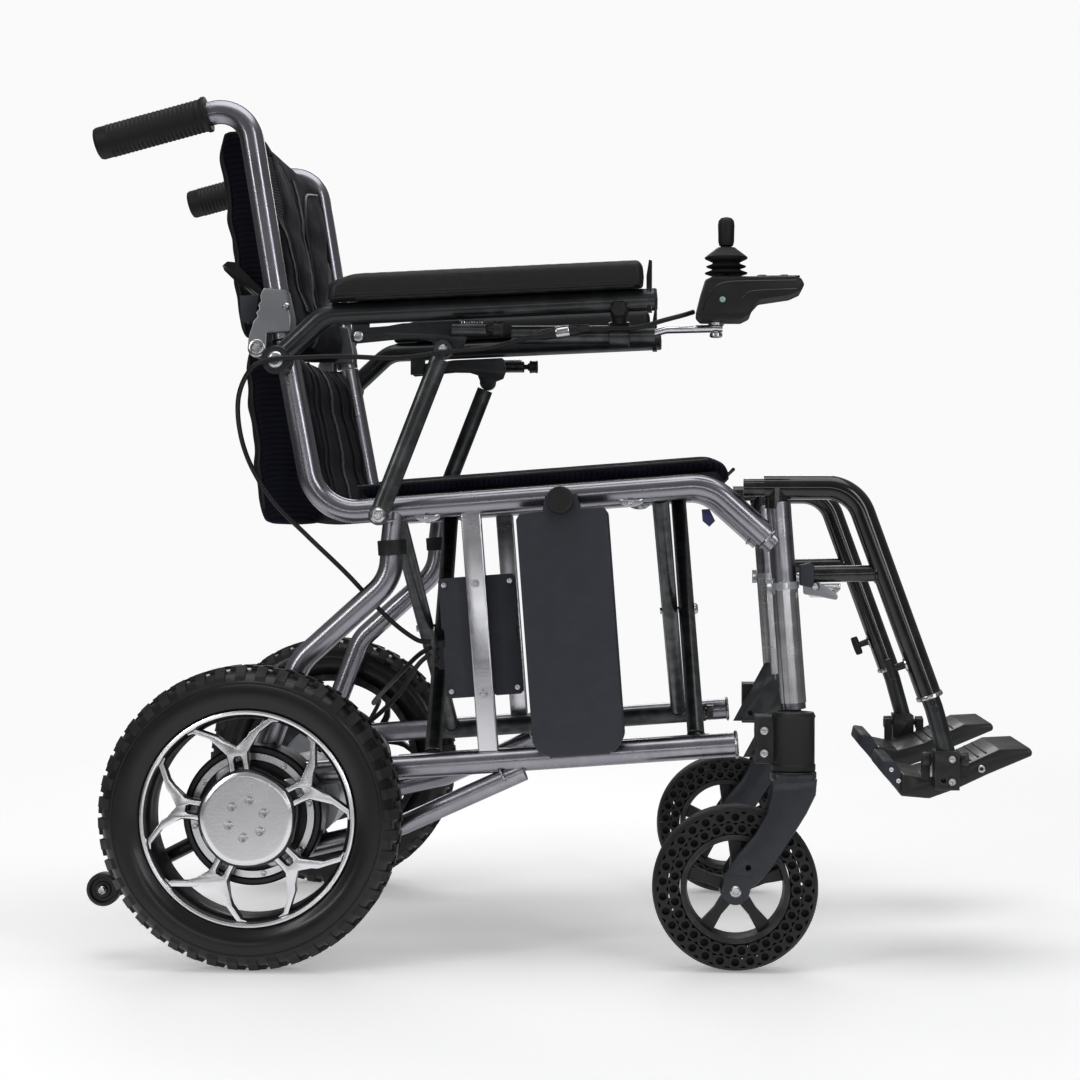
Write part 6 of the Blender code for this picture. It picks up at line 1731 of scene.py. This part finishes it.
# %% moulded footplate with ribs, cleats and a heel cup
def footplate(side, tag):
    outer, inner = FRAME_Y - TUBE_R - 0.0012, FRAME_Y - TUBE_R - 0.129
    profile = mm((355, 174.5), (385, 172.2), (414.5, 183.2), (444, 197.5), (489.3, 217.2), (489.6, 221.5),
            (487, 225.5), (456, 223.8), (433, 212.8), (410, 201.8), (380, 193), (357, 197.5))
    body = soft_corners(profile, 0.0025, 4)
    tread = plate("footplate_tread_" + tag, body, side * inner, side * outer, FOOT_PLASTIC, edge=0.0022)
    settle(tread, "footplate_" + tag, "footplate_" + tag)
    rise = Vector((0.456 - 0.41, 0, 0.2238 - 0.2018)).normalized()
    up = Vector((-rise.z, 0, rise.x))
    work = bmesh.new()
    for i in range(5):
        a = Vector((0.412, 0, 0.2026)) + rise * (0.009 * i) + up * 0.0004
        add_sweep(work, [(a.x, side * (inner + 0.008), a.z), (a.x, side * (outer - 0.012), a.z)], 0.0011,
                sides=8, up=(0, 0, 1))
    settle(done(work, "tread_cleats_" + tag, FOOT_PLASTIC), "footplate_" + tag)
    cup_side = mm((336, 198.5), (356.5, 175.5), (365, 186), (356, 200), (350, 209.5), (338.5, 211))
    cup = soft_corners(cup_side, 0.003, 4)
    shell = plate("heel_cup_" + tag, cup, side * (inner + 0.004), side * (outer - 0.004), SLATE, edge=0.002)
    settle(shell, "footplate_" + tag)
    studs = [(0.3462, side * (outer - 0.004), 0.2015, 0.0028), (0.3535, side * (outer - 0.004), 0.19,
            0.0028)]
    screws("heel_cup_studs_" + tag, "footplate_" + tag, studs, MACHINED, (0, side, 0))
    lug = bmesh.new()
    for x in (0.381, 0.419):
        add_plate(lug, rect(x - 0.0044, x + 0.0044, 0.192, 0.219), side * (outer - 0.006),
                side * (outer + 0.0008), edge=0.001)
        add_lathe(lug, mm((4, -4.4), (6.8, -4.4), (7.2, -3.6), (7.2, 3.6), (6.8, 4.4), (4, 4.4)),
                (x, side * (FRAME_Y - 0.0065), 0.214), (1, 0, 0), 28, True)
    add_sweep(lug, [(0.378, side * (FRAME_Y - 0.0065), 0.214), (0.422, side * (FRAME_Y - 0.0065), 0.214)],
            0.0038, sides=20, up=(0, 0, 1))
    settle(done(lug, "footplate_hinge_" + tag, FOOT_PLASTIC, 30, weld=False), "footplate_" + tag)
    eye = bmesh.new()
    add_lathe(eye, mm((2, -0.4), (3.8, -0.4), (4, 0.2), (3.4, 0.8), (2, 0.6)),
            (0.438, side * (outer + 0.0002), 0.2035), (0, side, 0), 28, True)
    settle(done(eye, "footplate_eyelet_" + tag, STEEL), "footplate_" + tag)


for side, tag in SIDES:
    hanger(side, tag)
    stem(side, tag)
    footplate(side, tag)
print("footrests made")

# %% [markdown]
# The battery is a slim slate case that tilts out of the side frame when its round knob is
# turned. Inside the frame sits the controller with its lid, screws and sockets. Two
# crossing braces pivot on each other between the frames and let the chair fold sideways.

# %% battery case and knob
def battery():
    inner = FRAME_Y + TUBE_R + 0.002
    outer = inner + 0.038
    b, f = -0.003, 0.09
    mid, knob_h = (b + f) / 2, SEAT_H - 0.0045
    low = [(b, 0.2339), (b + 0.004, 0.226), (b + 0.01, 0.22), (b + 0.02, 0.217), (f - 0.02, 0.217),
            (f - 0.01, 0.22), (f - 0.004, 0.226), (f, 0.2339), (f, 0.46), (f - 0.004, 0.4665),
            (mid + 0.019, 0.4675), (mid + 0.015, knob_h + 0.006), (mid - 0.015, knob_h + 0.006),
            (mid - 0.019, 0.4675), (b + 0.004, 0.4665), (b, 0.46)]
    case = plate("battery_case", [railwise(s, h) for s, h in low], -inner, -outer, SLATE, edge=0.003)
    settle(case, "battery", "battery")
    for n, s in enumerate((b + 0.0001, f - 0.0001)):
        a, c = railwise(s, 0.236), railwise(s, 0.458)
        line = tube(f"battery_seam_{n}", [(a[0], -(inner + 0.012), a[1]), (c[0], -(inner + 0.012), c[1])],
                0.0006, BLACK_GLOSS, sides=8)
        settle(line, "battery")
    sill = plate("battery_foot", [railwise(s, h) for s, h in ((b + 0.016, 0.2165), (f - 0.016, 0.2165),
            (f - 0.018, 0.221), (b + 0.018, 0.221))], -(inner + 0.004), -(outer - 0.004), PLASTIC,
            edge=0.001)
    settle(sill, "battery")
    x, z = railwise(mid, knob_h)
    ridge = lambda a, r, h: 1 - (0.035 * max(0, math.cos(18 * a)) if r > 0.0125 and h < 0.0105 else 0)
    knob = lathe("battery_turn_knob", mm((0, 0), (13.2, 0), (14, 1), (14, 9.5), (13.2, 11.2), (10, 12),
            (7, 11.6), (0, 11.4)), (x, -outer - 0.0005, z), PLASTIC, (0, -1, 0), 72, shape=ridge)
    settle(knob, "battery_knob", "battery_knob")


# %% controller with lid, screws, side notches and sockets
def controller():
    outer, s0, half = FRAME_Y - 0.0065, UPRIGHT_S, 0.0405
    lid = [(s0 - half, 0.283), (s0 - half + 0.003, 0.28), (s0 - 0.012, 0.28), (s0 - 0.01, 0.2815),
            (s0 + 0.01, 0.2815), (s0 + 0.012, 0.28), (s0 + half - 0.003, 0.28), (s0 + half, 0.283),
            (s0 + half, 0.332), (s0 + half - 0.0025, 0.3345), (s0 + half - 0.0025, 0.351),
            (s0 + half, 0.3535), (s0 + half, 0.4025), (s0 + half - 0.003, 0.4055),
            (s0 - half + 0.003, 0.4055), (s0 - half, 0.4025), (s0 - half, 0.3535),
            (s0 - half + 0.0025, 0.351), (s0 - half + 0.0025, 0.3345), (s0 - half, 0.332)]
    front = plate("controller_lid", [railwise(s, h) for s, h in lid], -outer, -(outer - 0.007), SLATE,
            edge=0.0012)
    settle(front, "controller_box", "controller_box")
    fins = bmesh.new()
    add_plate(fins, [railwise(s, h) for s, h in ((s0 - half + 0.002, 0.2825), (s0 + half - 0.002, 0.2825),
            (s0 + half - 0.002, 0.403), (s0 - half + 0.002, 0.403))], -(outer - 0.0065), -(outer - 0.034),
            edge=0.001)
    for i in range(9):
        h = 0.29 + 0.013 * i
        add_plate(fins, [railwise(s, q) for s, q in ((s0 - half + 0.004, h), (s0 + half - 0.004, h),
                (s0 + half - 0.004, h + 0.004), (s0 - half + 0.004, h + 0.004))], -(outer - 0.0335),
                -(outer - 0.0415), edge=0.0006)
    settle(done(fins, "controller_fins", SLATE, 30, weld=False), "controller_box")
    spots = [(s0 + a * (half - 0.006), 0.34275 + b * 0.0555) for a in (-1, 1) for b in (-1, 1)]
    places = [(*on_rail(-outer, s, h), 0.003) for s, h in spots]
    screws("controller_screws", "controller_box", places, STEEL, (0, -1, 0))
    x, z = railwise(s0 - half, 0.325)
    plugs = bmesh.new()
    for dz in (-0.0085, 0.001, 0.0105):
        add_lathe(plugs, mm((3, -4), (4.6, -4), (4.8, 7), (3.6, 9), (3, 9.5)),
                (x - 0.001, -(outer - 0.0215), z + dz), (-1, 0, 0), 24, True)
    add_plate(plugs, rect(x - 0.006, x + 0.003, z - 0.015, z + 0.015), -(outer - 0.011), -(outer - 0.033),
            edge=0.001)
    settle(done(plugs, "controller_sockets", PLASTIC, 30, weld=False), "controller_box")


# %% crossing braces
def brace(side, name, offset):
    brace_y = FRAME_Y - TUBE_R - 0.0015 - BRACE_R
    def at(s, y, h):
        return on_rail(y, s, h)

    low_y, high_y = side * brace_y, -side * brace_y
    work = bmesh.new()
    add_sweep(work, [at(BRACE_REAR, low_y, LOWER_H), at(BRACE_FRONT, low_y, LOWER_H)], BRACE_R, sides=28)
    add_sweep(work, [at(BRACE_REAR, high_y, SEAT_H), at(BRACE_FRONT, high_y, SEAT_H)], BRACE_R, sides=28)
    for s in BRACE_BARS:
        add_sweep(work, [at(s + offset, low_y, LOWER_H), at(s + offset, high_y, SEAT_H)], 0.009, sides=24,
                up=(1, 0, 0))
    settle(done(work, name + "_tubes", CHARCOAL, 40, weld=False), name, name)
    beads = bmesh.new()
    for s in BRACE_BARS:
        for y, h, lift in ((low_y, LOWER_H, 1), (high_y, SEAT_H, -1)):
            run = (Vector(at(s, high_y, SEAT_H)) - Vector(at(s, low_y, LOWER_H))).normalized() * lift
            weld_bead(beads, Vector(at(s + offset, y, h)) + run * 0.0118, run, 0.0094, 18, 0.0012)
    settle(done(beads, name + "_welds", CHARCOAL, weld=False), name)
    if offset > 0:
        bolts = bmesh.new()
        middle = (LOWER_H + SEAT_H) / 2
        along = Vector((math.cos(PITCH), 0, math.sin(PITCH)))
        for s in BRACE_BARS:
            add_screw(bolts, Vector(at(s + offset + 0.0088, 0, middle)), along, 0.0065, 0.004, True)
            add_sweep(bolts, [at(s + offset, 0, middle), at(s - offset - 0.011, 0, middle)], 0.0037,
                    sides=20)
        settle(done(bolts, "brace_pivots", STEEL, 30, weld=False), name)
    caps = bmesh.new()
    for s, way in ((BRACE_REAR, -1), (BRACE_FRONT, 1)):
        centre = Vector(at(s, high_y, SEAT_H))
        axis = Vector((way * math.cos(PITCH), 0, way * math.sin(PITCH)))
        add_lathe(caps, mm((0, -1), (10.5, -1), (11, 0.4), (10, 1.6), (0, 2)), centre, axis, 28)
    settle(done(caps, name + "_caps", PLASTIC), name)


battery()
controller()
brace(-1, "cross_brace_a", 0.0095)
brace(1, "cross_brace_b", -0.0095)
print("battery, controller and braces made")

# %% [markdown]
# Floor, light and camera. A plain pale floor and large soft lights show the finishes without
# colouring them. Long narrow softboxes are there for the tubes: a round tube mirrors a lamp as
# a thin line, so tall lamps give it the long clean highlights that polished tube has. The
# camera stands low on the chair's right, at the height of the armrest strut's foot.

# %% floor and soft light
def soft_floor():
    made = bpy.data.materials.new("pale_floor")
    made.use_nodes = True
    shader = made.node_tree.nodes["Principled BSDF"]
    shader.inputs["Base Color"].default_value = (0.86, 0.86, 0.87, 1)
    shader.inputs["Roughness"].default_value = 0.7
    shader.inputs["Emission Color"].default_value = (1, 1, 1, 1)
    shader.inputs["Emission Strength"].default_value = 0.3
    tree = made.node_tree
    reach = node(tree, "VectorMath", {0: node(tree, "TexCoord").outputs["Object"]}, operation="LENGTH")
    fade = node(tree, "MapRange", {"Value": reach.outputs["Value"], "From Min": 0.75, "From Max": 2.1,
            "To Min": 1.0, "To Max": 0.0})
    tree.links.new(fade.outputs[0], shader.inputs["Alpha"])
    work = bmesh.new()
    bmesh.ops.create_grid(work, x_segments=1, y_segments=1, size=30)
    floor = done(work, "floor", made)
    floor.location.z = -0.0005


def softbox(name, at, aim, width, height, power, tint=(1, 1, 1)):
    lamp = bpy.data.lights.new(name, "AREA")
    lamp.shape, lamp.size, lamp.size_y, lamp.energy, lamp.color = "RECTANGLE", width, height, power, tint
    holder = bpy.data.objects.new(name, lamp)
    holder.location = at
    holder.rotation_euler = (Vector(aim) - Vector(at)).to_track_quat("-Z", "Y").to_euler()
    bpy.context.scene.collection.objects.link(holder)


soft_floor()
softbox("overhead", (0.1, -0.3, 3.2), (0, 0, 0.4), 3.2, 2.4, 42)
softbox("key_left", (-2.4, -2.6, 1.9), (-0.1, 0, 0.45), 0.5, 2.4, 24, (1, 0.99, 0.97))
softbox("key_right", (2.1, -2.9, 1.6), (0.1, 0, 0.4), 0.6, 2.2, 20, (0.97, 0.98, 1))
softbox("rim_back", (-0.6, 2.8, 2.0), (0, 0, 0.5), 2.6, 1.2, 26)
softbox("front_low", (0.2, -3.4, 0.5), (0, 0, 0.35), 2.6, 0.35, 6)

world = bpy.data.worlds.new("studio")
bpy.context.scene.world = world
world.use_nodes = True
sky = world.node_tree
view = node(sky, "LightPath").outputs["Is Camera Ray"]
height = node(sky, "SeparateXYZ", {0: node(sky, "TexCoord").outputs["Generated"]}).outputs["Z"]
glow = node(sky, "MapRange", {"Value": height, "From Min": -0.3, "From Max": 0.9, "To Min": 0.07,
        "To Max": 0.36})
strength = node(sky, "Mix", {0: view, 2: glow.outputs[0], 3: 0.96}, data_type="FLOAT").outputs[0]
sky.links.new(strength, sky.nodes["Background"].inputs["Strength"])
sky.nodes["Background"].inputs["Color"].default_value = (1, 1, 1, 1)
bpy.context.scene.view_settings.view_transform = "Standard"
bpy.context.scene.view_settings.gamma = 0.86

# %% camera
camera_data = bpy.data.cameras.new("camera")
camera_data.lens, camera_data.sensor_width = 71.6, 36.0
camera = bpy.data.objects.new("camera", camera_data)
yaw, dip, roll = math.radians(3.7), math.radians(0.44), math.radians(0.13)
aim = Vector((-math.sin(yaw) * math.cos(dip), math.cos(yaw) * math.cos(dip), -math.sin(dip)))
camera.rotation_euler = (aim.to_track_quat("-Z", "Y").to_matrix() @ Matrix.Rotation(roll, 3,
        "Z")).to_euler()
camera.location = (0.1265, -2.435, 0.455)
bpy.context.scene.collection.objects.link(camera)
bpy.context.scene.camera = camera
